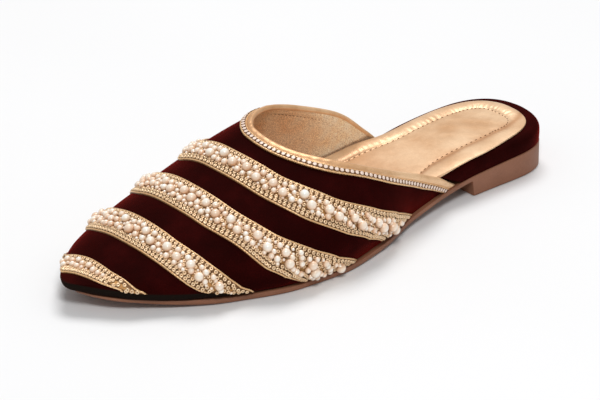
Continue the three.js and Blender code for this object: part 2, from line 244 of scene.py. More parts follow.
def lay_sheet(name, rows, angle=SMOOTH_ANGLE):
    """Closed piece from a grid laid at rows (rows, columns, 3) in millimetres, with equal points joined."""
    count, across = rows.shape[:2]
    piece = start_from(
        bpy.ops.mesh.primitive_grid_add, name, x_subdivisions=across - 1, y_subdivisions=count - 1, size=2
    )
    flat = raw_points(piece)
    column = np.rint((flat[:, 0] + 1) / 2 * (across - 1)).astype(int)
    row = np.rint((flat[:, 1] + 1) / 2 * (count - 1)).astype(int)
    placed = (rows[row, column] + TO_FRAME) * MM
    piece.data.vertices.foreach_set("co", placed.ravel())
    piece.data.update()

    def join():
        bpy.ops.mesh.remove_doubles(threshold=JOIN_WITHIN)
        bpy.ops.mesh.dissolve_degenerate(threshold=SLIVER)
        bpy.ops.mesh.fill_holes(sides=0)
        bpy.ops.mesh.select_all(action="SELECT")
        bpy.ops.mesh.normals_make_consistent(inside=False)

    in_edit(piece, join)
    bpy.ops.object.shade_smooth_by_angle(angle=math.radians(angle))
    return piece


def paint_attribute(piece, name, values):
    """Float for each point, for a finish that follows the surface."""
    layer = piece.data.attributes.new(name, "FLOAT", "POINT")
    layer.data.foreach_set("value", np.asarray(values, np.float32))


def paint_by_place(piece, name, rows, values):
    """Float for each point of a laid sheet, taken from the row point that lies there."""
    def keys(points):
        return map(tuple, np.rint(points * PLACE_STEPS).astype(int))

    known = dict(zip(keys(rows.reshape(-1, 3)), values.ravel()))
    paint_attribute(piece, name, [known.get(key, 0.0) for key in keys(points_of(piece))])


def strew(name, model, spots, tones=None):
    """Copies of a small model joined in one mesh; a spot is (place, up, along, size)."""
    mesh = model.data
    corners = np.array([v.co for v in mesh.vertices])
    faces = [tuple(p.vertices) for p in mesh.polygons]
    marks = [p.material_index for p in mesh.polygons]
    soft = [p.use_smooth for p in mesh.polygons]
    points, loops = [], []
    for n, (place, up, along, size) in enumerate(spots):
        z = up / np.linalg.norm(up)
        x = along - z * (along @ z)
        x = x / np.linalg.norm(x)
        turn = np.stack([x, np.cross(z, x), z], axis=1)
        points.append(corners * size @ turn.T + (place + TO_FRAME) * MM)
        loops.extend(tuple(k + n * len(corners) for k in face) for face in faces)
    joined = bpy.data.meshes.new(name)
    joined.from_pydata(np.concatenate(points).tolist(), [], loops)
    joined.polygons.foreach_set("material_index", marks * len(spots))
    joined.polygons.foreach_set("use_smooth", soft * len(spots))
    for material in mesh.materials:
        joined.materials.append(material)
    piece = bpy.data.objects.new(name, joined)
    bpy.context.scene.collection.objects.link(piece)
    if tones is not None:
        paint_attribute(piece, "tone", np.repeat(tones, len(corners)))
    low, high = corners[:, 2].min(), corners[:, 2].max()
    paint_attribute(piece, "rise", np.tile((corners[:, 2] - low) / (high - low), len(spots)))
    joined.update()
    return piece


def join_pieces(name, pieces):
    put_down_tools()
    for piece in pieces:
        piece.select_set(True)
    bpy.context.view_layer.objects.active = pieces[0]
    bpy.ops.object.join()
    joined = bpy.context.object
    joined.name = joined.data.name = name
    return joined


def clear_away(*models):
    for model in models:
        bpy.data.objects.remove(model)


def dress(piece, node, material=None):
    """Finish and body of a piece; hides the CAD solid that it stands for."""
    if material is not None:
        piece.data.materials.clear()
        piece.data.materials.append(material)
    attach(piece, "root")
    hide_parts(node)


# Finishes.
WHITE = (1.0, 1.0, 1.0, 1.0)


def rgb(r, g, b):
    """Colour of a finish from its values as seen, 0 to 255."""
    def light(v):
        v /= 255
        return v / 12.92 if v <= 0.04045 else ((v + 0.055) / 1.055) ** 2.4

    return (light(r), light(g), light(b), 1.0)


class Finish:
    """Material with one shader, built up from grain, colour and bump."""

    def __init__(self, name, **sockets):
        self.material = bpy.data.materials.new(name)
        self.material.use_nodes = True
        self.nodes = self.material.node_tree.nodes
        self.links = self.material.node_tree.links
        self.shader = self.nodes["Principled BSDF"]
        self.coordinates = self.nodes.new("ShaderNodeTexCoord").outputs["Object"]
        self.bumped = None
        for socket, value in sockets.items():
            self.shader.inputs[socket.replace("_", " ")].default_value = value

    def add(self, kind, **values):
        node = self.nodes.new("ShaderNode" + kind)
        for key, value in values.items():
            if hasattr(node, key):
                setattr(node, key, value)
            else:
                node.inputs[key.replace("_", " ")].default_value = value
        return node

    def noise(self, size_mm, detail=3.0, rough=0.55, stretch=None):
        """Soft mottling whose patches are about size_mm across."""
        node = self.add("TexNoise", Scale=1 / (size_mm * MM), Detail=detail, Roughness=rough)
        place = self.coordinates
        if stretch is not None:
            mapping = self.add("Mapping")
            mapping.inputs["Scale"].default_value = stretch
            self.links.new(place, mapping.inputs["Vector"])
            place = mapping.outputs["Vector"]
        self.links.new(place, node.inputs["Vector"])
        return node.outputs["Fac"]

    def cells(self, size_mm, feature="F1"):
        """Grain of cells about size_mm across."""
        node = self.add("TexVoronoi", feature=feature, Scale=1 / (size_mm * MM))
        self.links.new(self.coordinates, node.inputs["Vector"])
        return node.outputs["Distance"]

    def attribute(self, name):
        return self.add("Attribute", attribute_name=name).outputs["Fac"]

    def ramp(self, source, *stops):
        """Colours by a value; stops are (place, colour)."""
        node = self.add("ValToRGB")
        steps = node.color_ramp.elements
        while len(steps) < len(stops):
            steps.new(0.5)
        for step, (place, colour) in zip(steps, stops):
            step.position = place
            step.color = colour
        self.links.new(source, node.inputs["Fac"])
        return node.outputs["Color"]

    def blend(self, source, first, second, mode="MIX"):
        node = self.add("MixRGB", blend_type=mode)
        for value, socket in ((source, "Fac"), (first, "Color1"), (second, "Color2")):
            if isinstance(value, bpy.types.NodeSocket):
                self.links.new(value, node.inputs[socket])
            else:
                node.inputs[socket].default_value = value
        return node.outputs["Color"]

    def times(self, first, second):
        return self.blend(1.0, first, second, "MULTIPLY")

    def spread(self, source, low, high):
        node = self.add("MapRange", To_Min=low, To_Max=high)
        self.links.new(source, node.inputs["Value"])
        return node.outputs["Result"]

    def bump(self, source, depth_mm, strength=1.0):
        node = self.add("Bump", Strength=strength, Distance=depth_mm * MM)
        self.links.new(source, node.inputs["Height"])
        if self.bumped is not None:
            self.links.new(self.bumped, node.inputs["Normal"])
        self.bumped = node.outputs["Normal"]

    def done(self, colour, rough):
        self.links.new(colour, self.shader.inputs["Base Color"])
        self.links.new(rough, self.shader.inputs["Roughness"])
        if self.bumped is not None:
            self.links.new(self.bumped, self.shader.inputs["Normal"])
        return self.material


def velvet_finish(name, sheen):
    """Velvet; where the attribute turn says that its edge is turned under, it is a near-black grey of painted
    shade and painted floor reflection.
    """
    f = Finish(
        name, Specular_IOR_Level=0.02, Sheen_Weight=sheen, Sheen_Roughness=0.3, Sheen_Tint=rgb(226, 52, 40)
    )
    nap = f.ramp(f.noise(16), (0.30, rgb(33, 4, 3)), (0.52, rgb(41, 5, 4)), (0.74, rgb(54, 8, 7)))
    pile = f.ramp(f.noise(0.35, 2, 0.6, (1.0, 1.0, 0.5)), (0.35, (0.62, 0.62, 0.62, 1)), (0.65, WHITE))
    f.bump(f.noise(3.5, 2), 0.1)
    f.bump(f.noise(0.3, 2, 0.7), 0.12, 0.8)
    # Painted shade and floor reflection: near-black grey where the velvet turns under.
    colour = f.blend(f.attribute("turn"), f.times(nap, pile), rgb(27, 21, 17))
    return f.done(colour, f.spread(f.noise(2.0), 0.78, 0.95))


def gold_leather_finish(name, light, deep, metallic, rough, patch_mm, grain_mm, depth_mm, crease, painted_glitter=0):
    """Gilt leather; the attribute shade darkens it as painted shade."""
    f = Finish(name, Metallic=metallic, Specular_IOR_Level=0.4)
    patches = f.ramp(f.noise(patch_mm, 4), (0.3, deep), (0.62, light))
    dark = (1 - crease, 1 - crease * 1.2, 1 - crease * 1.4, 1)
    creases = f.ramp(f.cells(grain_mm, "DISTANCE_TO_EDGE"), (0.0, dark), (0.14, WHITE))
    f.bump(f.noise(5.5), 0.16)
    f.bump(f.cells(grain_mm, "DISTANCE_TO_EDGE"), depth_mm, 0.7)
    f.bump(f.noise(0.35, 2, 0.7), 0.02 + 0.06 * painted_glitter)
    colour = f.times(patches, creases)
    # Lighter and darker flecks of the foil's glitter; flecks brighter than the base colour are painted
    # glints.
    if painted_glitter:
        low, high = 1 - 0.6 * painted_glitter, 1 + painted_glitter
        stops = (0.36, (low, low, low, 1)), (0.5, WHITE), (0.66, (high, high, high, 1))
        colour = f.times(colour, f.ramp(f.noise(0.5, 3, 0.7), *stops))
    # Painted shade by the attribute shade.
    colour = f.times(colour, f.ramp(f.attribute("shade"), (0.0, WHITE), (1.0, (0.7, 0.53, 0.4, 1))))
    return f.done(colour, f.spread(f.noise(1.6), rough - 0.07, rough + 0.1))


def gold_metal_finish(name, light, deep, rough, foot=None):
    """Gilt metal; a foot colour paints shade on small things towards the cloth that they sit on."""
    f = Finish(name, Metallic=0.35, Specular_IOR_Level=0.6)
    f.bump(f.noise(0.25, 2), 0.03)
    colour = f.ramp(f.noise(1.2), (0.3, deep), (0.65, light))
    if foot is not None:
        # Painted shade at the foot of each small thing, by the attribute rise.
        colour = f.times(colour, f.ramp(f.attribute("rise"), (0.15, foot), (0.75, WHITE)))
    return f.done(colour, f.spread(f.noise(0.6), rough - 0.06, rough + 0.1))


def pearl_finish():
    """Cream pearl with painted shade browning its foot and a painted highlight on its top; the attribute tone
    makes each pearl a little lighter or deeper.
    """
    f = Finish(
        "cream_pearl", Specular_IOR_Level=0.6, Coat_Weight=0.8, Coat_Roughness=0.07, Sheen_Weight=0.1,
        Sheen_Tint=rgb(255, 228, 214),
    )
    tint = f.ramp(
        f.attribute("tone"), (0.0, rgb(245, 218, 194)), (0.5, rgb(254, 240, 225)), (1.0, rgb(255, 253, 247))
    )
    # Painted shade at each pearl's foot and a painted highlight at its top, by the attribute rise.
    body = f.ramp(
        f.attribute("rise"), (0.0, rgb(92, 56, 30)), (0.3, rgb(176, 134, 100)), (0.55, rgb(230, 201, 173)),
        (0.78, rgb(250, 235, 220)), (0.95, rgb(255, 255, 252)),
    )
    f.bump(f.noise(0.6, 2), 0.02)
    return f.done(f.times(body, tint), f.spread(f.noise(0.9), 0.16, 0.3))


def stone_finish(name, light, deep, metallic, rough):
    f = Finish(name, Metallic=metallic, Specular_IOR_Level=0.25)
    f.bump(f.noise(0.2, 1), 0.01)
    colour = f.ramp(f.noise(0.7, 1), (0.35, deep), (0.62, light))
    return f.done(colour, f.spread(f.noise(0.5), rough, rough + 0.08))


def band_cloth_finish():
    """Gold cloth, lighter under the pearls by the attribute bed, and darkened to brown between the ring
    stones as painted shade.
    """
    f = Finish("orange_gold_cloth", Metallic=0.1, Specular_IOR_Level=0.4)
    threads = f.ramp(f.cells(0.45), (0.1, rgb(250, 210, 146)), (0.6, rgb(232, 176, 108)))
    # Painted shade: away from the bed the cloth is darkened to brown, as in the gaps between stones.
    shade = f.ramp(f.attribute("bed"), (0.0, (0.24, 0.18, 0.12, 1)), (1.0, (0.78, 0.69, 0.58, 1)))
    worn = f.ramp(f.noise(2.0), (0.35, (0.82, 0.8, 0.76, 1)), (0.65, WHITE))
    f.bump(f.cells(0.45), 0.1)
    return f.done(f.times(f.times(threads, shade), worn), f.spread(f.noise(0.8), 0.4, 0.6))


def rubber_finish():
    f = Finish("tan_moulded_rubber", Specular_IOR_Level=0.4)
    cloud = f.ramp(f.noise(24, 4), (0.3, rgb(134, 88, 64)), (0.68, rgb(156, 104, 77)))
    dust = f.ramp(f.noise(0.8, 3, 0.7), (0.3, (0.84, 0.82, 0.8, 1)), (0.7, WHITE))
    f.bump(f.noise(0.5, 3, 0.65), 0.05)
    return f.done(f.times(cloud, dust), f.spread(f.noise(5), 0.46, 0.64))


def thread_finish():
    f = Finish("brown_thread", Specular_IOR_Level=0.2, Sheen_Weight=0.3)
    f.bump(f.noise(0.2, 2), 0.04)
    colour = f.ramp(f.noise(0.8), (0.3, rgb(104, 66, 36)), (0.7, rgb(140, 94, 54)))
    return f.done(colour, f.spread(f.noise(1), 0.6, 0.8))


VELVET = velvet_finish("maroon_velvet", sheen=0.6)
# Velvet of the turned-under edge, with little sheen; its near-black grey is painted shade and floor
# reflection.
PAINTED_LIGHT_VELVET_EDGE = velvet_finish("turned_velvet_painted_light", sheen=0.08)
LINING_GOLD = gold_leather_finish(
    "gold_lining_leather", rgb(255, 251, 234), rgb(252, 229, 196), metallic=0.6, rough=0.3, patch_mm=9,
    grain_mm=0.9, depth_mm=0.06, crease=0.06, painted_glitter=0.5,
)
SOCK_GOLD = gold_leather_finish(
    "gold_sock_leather", rgb(241, 203, 163), rgb(212, 164, 119), metallic=0.25, rough=0.34, patch_mm=22,
    grain_mm=1.4, depth_mm=0.02, crease=0.05,
)
ROLL_GOLD = gold_leather_finish(
    "gold_binding_leather", rgb(247, 206, 161), rgb(226, 179, 131), metallic=0.35, rough=0.36, patch_mm=9,
    grain_mm=0.8, depth_mm=0.03, crease=0.1,
)
CORD_GOLD = gold_metal_finish("gold_cord", rgb(248, 208, 156), rgb(230, 178, 122), rough=0.3)
# The ring stones' foot colour is painted shade towards the cloth.
RING_GOLD = gold_metal_finish(
    "gold_ring", rgb(252, 222, 182), rgb(234, 194, 148), rough=0.24, foot=rgb(70, 40, 20)
)
AMBER = stone_finish("amber_stone", rgb(160, 106, 62), rgb(108, 66, 36), metallic=0.2, rough=0.12)
CRYSTAL = stone_finish("clear_crystal", rgb(248, 229, 216), rgb(232, 206, 189), metallic=0.05, rough=0.25)
# Metal cups of the crystals, darkened to brown as painted shade of the gaps between crystals.
SHADED_CUP = stone_finish("silver_cup_painted_shade", rgb(154, 116, 86), rgb(112, 78, 54), metallic=0.3, rough=0.3)
PEARL = pearl_finish()
BAND_CLOTH = band_cloth_finish()
RUBBER = rubber_finish()
THREAD = thread_finish()


# Small stones and stitches, each modelled once. Sizes in millimetres.
STONE_FOOT = 0.1
PEARL_FOOT = -0.8
STITCH_DIP, STITCH_TAPER = 0.9, 0.45


def select_top(piece):
    """Leaves the highest face selected, in edit mode."""
    bpy.ops.mesh.select_mode(type="FACE")
    bpy.ops.object.mode_set(mode="OBJECT")
    highest = max(piece.data.polygons, key=lambda p: p.center.z)
    for p in piece.data.polygons:
        p.select = p.index == highest.index
    bpy.ops.object.mode_set(mode="EDIT")


def turned_stone(name, radius, height, sides, steps, rim, core, core_from):
    """Round setting: a drum whose top is inset and lifted step by step, with the core inside core_from."""
    piece = start_from(
        bpy.ops.mesh.primitive_cylinder_add, name, vertices=sides, radius=radius * MM, depth=height * MM,
        location=UP * height * MM / 2,
    )
    bpy.ops.object.transform_apply(location=True, rotation=False, scale=False)
    bpy.ops.object.mode_set(mode="EDIT")
    select_top(piece)
    for inset, lift in steps:
        bpy.ops.mesh.inset(thickness=inset * MM, depth=0)
        bpy.ops.transform.translate(value=(0, 0, lift * MM))
    bpy.ops.object.mode_set(mode="OBJECT")
    piece.data.materials.append(rim)
    piece.data.materials.append(core)
    corners = piece.data.vertices
    for p in piece.data.polygons:
        away = max(corners[k].co.xy.length for k in p.vertices)
        p.material_index = int(away < core_from * MM and p.center.z > STONE_FOOT * MM)
    piece.data.shade_smooth()
    return piece


def pearl_model(name, sides, rings):
    """Ball of unit radius in millimetres with a flat foot."""
    add_ball = bpy.ops.mesh.primitive_uv_sphere_add
    piece = start_from(add_ball, name, segments=sides, ring_count=rings, radius=MM)

    def foot():
        bpy.ops.mesh.bisect(plane_co=UP * PEARL_FOOT * MM, plane_no=UP, use_fill=True, clear_inner=True)

    in_edit(piece, foot)
    piece.data.materials.append(PEARL)
    piece.data.shade_smooth()
    return piece


def stitch_model(name, length, width):
    """Stitch: a short bar that dips into the leather at both ends."""
    piece = start_from(
        bpy.ops.mesh.primitive_cylinder_add, name, vertices=6, radius=width / 2 * MM, depth=length * MM,
        rotation=(0, math.pi / 2, 0),
    )
    bpy.ops.object.transform_apply(location=True, rotation=True, scale=False)
    in_edit(piece, lambda: bpy.ops.mesh.bisect(plane_co=(0, 0, 0), plane_no=(1, 0, 0)))
    for v in piece.data.vertices:
        end = abs(v.co.x) / (length / 2 * MM)
        v.co.z -= STITCH_DIP * width * MM * end ** 2
        v.co.y *= 1 - STITCH_TAPER * end
    piece.data.materials.append(THREAD)
    piece.data.shade_smooth()
    return piece


# Strips of trim over the upper, each between a rear and a front line.
COLLAR = ("collar", "trim")
BANDS = {n: (f"rear{n}", f"front{n}") for n in (1, 2, 3, 4)}
FINE = np.linspace(-1, 1, 4001)
# Steps over which directions on the last are taken.
T_STEP, X_STEP = 1e-3, 0.25
CORD_PITCH, CORD_SIDES, CORD_STRANDS, CORD_RELIEF = 1.4, 7, 3, 0.16
CORD_STEP = CORD_PITCH / 4


def strip_at(strip, t, share):
    """X place at t, share of the way from the strip's rear line to its front line."""
    rear, front = strip
    return mix(line_x(rear, t), line_x(front, t), share)


def strip_width(strip, t):
    """Width of the strip square to its run."""
    def edges(s):
        return [last_point(line_x(name, s), s) for name in strip]

    start, end = edges(t)
    run = sum(edges(np.minimum(t + T_STEP, 1))) - sum(edges(np.maximum(t - T_STEP, -1)))
    run /= np.linalg.norm(run, axis=-1, keepdims=True)
    chord = end - start
    return np.linalg.norm(chord - (chord * run).sum(-1, keepdims=True) * run, axis=-1)


def strip_x(strip, t, offset):
    """X place offset millimetres in from the rear edge, or from the front edge if negative."""
    share = offset / strip_width(strip, t)
    return strip_at(strip, t, 1 + share if offset < 0 else share)


def outward(x, t):
    """Unit normal of the last at x and t."""
    along = last_point(x + X_STEP, t) - last_point(x - X_STEP, t)
    sideways = last_point(x, np.minimum(t + 2 * T_STEP, 1)) - last_point(x, np.maximum(t - 2 * T_STEP, -1))
    normal = np.cross(along, sideways)
    return normal / np.linalg.norm(normal, axis=-1, keepdims=True)


def run_length(points):
    return np.concatenate([[0], np.cumsum(np.linalg.norm(np.diff(points, axis=0), axis=1))])


def paced(points, values, pitch, start=0.0, spare=0.0):
    """Values at places that lie pitch millimetres apart along a line of points."""
    run = run_length(points)
    return np.interp(np.arange(start, run[-1] - spare, pitch), run, values)


def spots_at(places, ups, alongs):
    """Spots for strew at full size."""
    return [(place, up, along, 1.0) for place, up, along in zip(places, ups, alongs)]


def row_spots(strip, offset, t, height):
    """Spots on a row that lies offset millimetres in from an edge of the strip."""
    def at(s):
        return last_point(strip_x(strip, s, offset), s, height)

    along = at(np.minimum(t + T_STEP, 1)) - at(np.maximum(t - T_STEP, -1))
    return spots_at(at(t), outward(strip_x(strip, t, offset), t), along)


def section_rows(strip, t, profile):
    """Rows of a section along a strip; a point of its profile is (share of the width, height)."""
    share, height = np.array(profile).T[:, None]
    return last_point(strip_at(strip, t, share), t, height)


def twisted_cord(name, x, t, height, radius):
    """Cord of twisted strands that lies at height over places on the last."""
    centre, up = last_point(x, t, height), outward(x, t)
    run = run_length(centre)
    along = np.gradient(centre, axis=0)
    along /= np.linalg.norm(along, axis=1, keepdims=True)
    up = up - (up * along).sum(1, keepdims=True) * along
    up /= np.linalg.norm(up, axis=1, keepdims=True)
    across = np.cross(along, up)
    angle = np.linspace(0, 2 * math.pi, CORD_SIDES + 1)[None, :]
    twist = run[:, None] / CORD_PITCH * 2 * math.pi / CORD_STRANDS
    r = radius * (1 + CORD_RELIEF * np.cos(CORD_STRANDS * (angle - twist)))
    round_up, round_across = (r * np.cos(angle))[..., None], (r * np.sin(angle))[..., None]
    return lay_sheet(name, centre[:, None] + round_up * up[:, None] + round_across * across[:, None])


# Upper: velvet outside and gold leather inside, lasted over the same form.
UPPER_ROWS, UPPER_COLUMNS = 120, 140
VELVET_WALL, LINING_WALL, WALL_GAP = 1.0, 0.95, 0.02
# Height over the feather of the edge strip where the velvet turns under and is painted near-black grey as
# painted shade and floor reflection, at places along the shoe, and how softly it ends.
EDGE_STRIP = ((150, 170, 193, 215, 235, 262), (-0.3, 0.2, 1.1, 3.9, 4.0, 4.4))
EDGE_SOFTNESS = 0.25
# The velvet is drawn in towards the feather past this t: how far at most, how round, and what share of it
# over each stretch of the shoe.
TUCK_FROM, TOE_TUCK, TUCK_ROUND = 0.78, 4.0, 0.98
TUCK_SHARES = ((0.35, 178, 235), (0.65, 235, 256))
# Ripples where the velvet is drawn under: depth, share along the sides, t and X from which they grow, where
# they end before the tip, and waves over X and t.
PUCKER_DEPTH, SIDE_PUCKERS = 0.09, 0.35
PUCKERS_FROM, PUCKER_TOE, PUCKER_END = 0.62, (165, 245), (0.86, 1.0)
PUCKER_WAVES = ((1.0, 0.62, 3.0, 0.0), (0.6, 0.37, -5.0, 1.0))
# The toe's stiffener: thickness and where it sets in.
STIFFENER, STIFFENER_RUN = 2.4, (215, 245)
# Facing along the topline: width, how much X counts as width, thickness, and the groove and stitches at its
# end.
FACING_WIDTH, FACING_SLANT, FACING_STEP, FACING_SOFTNESS = 5.2, 0.75, 0.26, 0.35
GROOVE_DEEP, GROOVE_BEYOND, GROOVE_SPREAD = 0.2, 0.3, 0.45
FACING_STITCH = {"length": 1.7, "width": 0.3}
STITCH_BEYOND, STITCH_START, FACING_STITCH_PITCH, STITCH_LIFT, STITCH_ENDS = 0.9, 1.0, 2.3, 0.25, 0.8
# The lining thins towards the topline, and drapes.
TOPLINE_THINNING, THINNING_RUN = 0.6, (1.0, 4.5)
DRAPE = 0.08
# Painted shade on the lining: under the crown towards the toe, by X, and along its foot by the sock, by
# height over the board.
TOE_SHADE, TOE_SHADE_RUN = 0.66, (86, 112)
FOOT_SHADE, FOOT_SHADE_RUN = 0.8, (2.6, 3.8)


def tuck(x, t):
    """How far the velvet is drawn in towards the feather round the toe."""
    low = np.clip((np.abs(t) - TUCK_FROM) / (1 - TUCK_FROM), 0, 1)
    along = sum(share * ease(start, end, x) for share, start, end in TUCK_SHARES)
    return TOE_TUCK * along * (1 - np.sqrt(1 - TUCK_ROUND * low ** 2))


def lasting_puckers(x, t):
    strength = ease(PUCKERS_FROM, 1.0, np.abs(t)) * mix(SIDE_PUCKERS, 1.0, ease(*PUCKER_TOE, x))
    return PUCKER_DEPTH * strength * waves(x, t, PUCKER_WAVES)


def under_velvet(x, t):
    """Depth of the velvet's inner face."""
    return VELVET_WALL + tuck(x, t) + STIFFENER * ease(*STIFFENER_RUN, x)


def upper_wall(name, outside, inside):
    """Closed wall between two depths below the last's outside, from the collar to the toe tip."""
    v = np.linspace(0, 1, UPPER_ROWS + 1)[:, None]
    t = np.linspace(-1, 1, UPPER_COLUMNS + 1)[None, :]
    run = 1 - (1 - v) ** 2

    def face(depth_at):
        depth = depth_at(v, t, mix(line_x("collar", t), UPPER_TIP - VELVET_WALL, run))
        return last_point(mix(line_x("collar", t), UPPER_TIP - depth, run), t, -depth)

    outer, inner = face(outside), face(inside)[:, ::-1]
    rows = np.concatenate([outer, inner, outer[:, :1]], axis=1)
    seam = (outer[0] + inner[0, ::-1]) / 2
    edge = np.concatenate([seam, seam[::-1], seam[:1]])[None]
    return lay_sheet(name, np.concatenate([edge, rows]))


def velvet_upper():
    def outside(v, t, x):
        return tuck(x, t) - lasting_puckers(x, t) * (1 - ease(*PUCKER_END, v))

    piece = upper_wall("velvet_upper", outside, lambda v, t, x: under_velvet(x, t))
    x, _, z = points_of(piece).T
    strip = np.interp(x, *EDGE_STRIP)
    # Where the velvet turns under, its colour is painted shade and floor reflection.
    turned = 1 - ease(strip - EDGE_SOFTNESS, strip + EDGE_SOFTNESS, z - feather_height(x))
    paint_attribute(piece, "turn", turned)
    dress(piece, "upper", VELVET)
    piece.data.materials.append(PAINTED_LIGHT_VELVET_EDGE)
    for p in piece.data.polygons:
        p.material_index = int(turned[list(p.vertices)].mean() > 0.5)


def lining_painted_shade(x, z):
    # Painted shade under the crown towards the toe, and along the lining's foot where it meets the sock.
    foot = 1 - ease(*FOOT_SHADE_RUN, z - board_top(x))
    return np.maximum(TOE_SHADE * ease(*TOE_SHADE_RUN, x), FOOT_SHADE * foot)


def gold_lining():
    def inside(v, t, x):
        """The facing along the topline lies on the lining and ends in a soft step."""
        run = (x - line_x("collar", t)) * FACING_SLANT
        step = FACING_STEP * ease(FACING_WIDTH - FACING_SOFTNESS, FACING_WIDTH + FACING_SOFTNESS, run)
        groove = GROOVE_DEEP * hump(run, FACING_WIDTH + GROOVE_BEYOND, GROOVE_SPREAD)
        drape = DRAPE * np.sin(x * 0.21 + 4 * t) * np.sin(x * 0.09 - 6 * t)
        thin = TOPLINE_THINNING * (1 - ease(*THINNING_RUN, run))
        return under_velvet(x, t) + LINING_WALL - step - groove - thin + drape

    piece = upper_wall("gold_lining", lambda v, t, x: under_velvet(x, t) + WALL_GAP, inside)
    x, _, z = points_of(piece).T
    paint_attribute(piece, "shade", lining_painted_shade(x, z))
    dress(piece, "upper", LINING_GOLD)

    def seam_x(t):
        return line_x("collar", t) + (FACING_WIDTH + STITCH_BEYOND) / FACING_SLANT

    wall = VELVET_WALL + LINING_WALL
    t = FINE[np.abs(FINE) < STITCH_ENDS]
    t = paced(last_point(seam_x(t), t, -wall), t, FACING_STITCH_PITCH, STITCH_START)
    place = last_point(seam_x(t), t, STITCH_LIFT - wall)
    model = stitch_model("facing_stitch", **FACING_STITCH)
    spots = spots_at(place, -outward(seam_x(t), t), np.gradient(place, axis=0))
    dress(strew("facing_stitches", model, spots), "upper")
    clear_away(model)


# Collar: rolled gold binding, then a row of crystals between two cords.
# Section of the binding: millimetres across from the topline, with the outer leg drawn out to the chain, and
# height over the last.
ROLL_PROFILE = [
    (2.6, 0.3), (2.5, 0.6), (2.0, 0.85), (1.1, 0.92), (0.3, 0.84), (-0.25, 0.6), (-0.6, 0.15), (-0.78, -0.4),
    (-0.8, -0.85), (-0.68, -1.25), (-0.35, -1.55), (0.1, -1.7), (0.6, -1.7), (0.8, -1.62), (0.6, -1.52),
    (0.0, -1.48), (-0.2, -1.2), (-0.2, -0.2), (0.0, 0.25), (1.1, 0.3),
]
# Rows of the chain: share of the way from topline to trim edge.
ROLL_SHARE, UPPER_CORD, CRYSTAL_ROW, LOWER_CORD = 0.47, 0.5, 0.71, 0.93
# Height over which the binding is a little uneven, and its waves over t.
ROLL_CROWN = 0.8
ROLL_WAVES = ((0.05, 160, 0, 0), (0.04, 71, 0, 1))
# Painted shade on the binding over the crown, by X.
ROLL_SHADE, ROLL_SHADE_RUN = 0.5, (98, 136)
ROLL_STATIONS, TAPE_STATIONS = 420, 260
# Cords of the chain: name, row and radius. They are paced at one height and lie at another.
CHAIN_CORDS = (("upper_cord", UPPER_CORD, 0.36), ("lower_cord", LOWER_CORD, 0.48))
CORD_PACED_AT, CORD_HEIGHT = 0.8, 0.75
TAPE_FOOT, TAPE_TOP, TAPE_BED, TAPE_ANGLE = 0.3, 0.62, 0.1, 30
CRYSTAL_PITCH, CRYSTAL_START, CRYSTAL_SPARE, CRYSTAL_HEIGHT = 2.45, 1.2, 0.6, 0.6


def collar_roll():
    across, height = np.array(ROLL_PROFILE + ROLL_PROFILE[:1]).T[:, None]
    t = np.linspace(-1, 1, ROLL_STATIONS)[:, None]
    leg = across / ROLL_PROFILE[0][0] * ROLL_SHARE
    x = strip_at(COLLAR, t, np.where(across > 0, leg, across / strip_width(COLLAR, t)))
    piece = lay_sheet(
        "collar_roll", last_point(x, t, height + np.where(height > ROLL_CROWN, waves(t, 0, ROLL_WAVES), 0))
    )
    # Painted shade over the crown.
    paint_attribute(piece, "shade", ROLL_SHADE * ease(*ROLL_SHADE_RUN, points_of(piece)[:, 0]))
    dress(piece, "collar_binding", ROLL_GOLD)


def collar_stones():
    cords = []
    for name, share, radius in CHAIN_CORDS:
        t = paced(last_point(strip_at(COLLAR, FINE, share), FINE, CORD_PACED_AT), FINE, CORD_STEP)
        cords.append(twisted_cord(name, strip_at(COLLAR, t, share), t, CORD_HEIGHT, radius))
    dress(join_pieces("collar_cords", cords), "collar_chain", CORD_GOLD)

    foot, top = [(ROLL_SHARE, TAPE_FOOT)], [(ROLL_SHARE, TAPE_TOP), (1.0, TAPE_TOP), (1.0, TAPE_FOOT)]
    t = np.linspace(-1, 1, TAPE_STATIONS)[:, None]
    tape = lay_sheet("collar_tape", section_rows(COLLAR, t, foot + top + foot), TAPE_ANGLE)
    # The tape is mostly painted shade, brown where it shows between the crystals.
    paint_attribute(tape, "bed", np.full(len(tape.data.vertices), TAPE_BED))
    dress(tape, "collar_chain", BAND_CLOTH)

    model = turned_stone(
        "crystal_model", radius=1.04, height=0.75, sides=8, steps=[(0.1, 0.06), (0.06, -0.03), (0.24, 0.16)],
        rim=SHADED_CUP, core=CRYSTAL, core_from=1.0,
    )
    model.data.shade_flat()
    line = last_point(strip_at(COLLAR, FINE, CRYSTAL_ROW), FINE, CRYSTAL_HEIGHT)
    t = paced(line, FINE, CRYSTAL_PITCH, CRYSTAL_START, CRYSTAL_SPARE)
    x = strip_at(COLLAR, t, CRYSTAL_ROW)
    place = last_point(x, t, CRYSTAL_HEIGHT)
    spots = spots_at(place, outward(x, t), np.gradient(place, axis=0))
    dress(strew("collar_crystals", model, spots), "collar_chain")
    clear_away(model)


# Jewelled bands: cloth strip, edge cords, rows of ring stones, and pearls along the middle.
BAND_HEIGHT = 0.6
BAND_FOOT, BAND_EDGE, BED_RISE, BED_HALF = 0.1, 0.4, 0.1, 0.18
BAND_STATIONS = 220
# Where the rear and the front edge of each band go under the edge strip, as t.
BAND_END = {1: (0.855, 0.845), 2: (0.965, 0.85), 3: (0.998, 0.99), 4: (0.998, 0.96)}
CORD_OFFSET, CORD_RADIUS = 0.42, 0.38
# Rows of stones in from each edge, and how wide the band is where the rear row, the front row and the second
# rows begin.
STONE_ROWS, STONE_PITCH, STONE_START, STONE_HEIGHT = (1.7, 3.45), 2.4, 0.3, 0.58
REAR_ROW_FROM, FRONT_ROW_FROM, SECOND_ROWS_FROM = 2.7, 4.9, 7.6
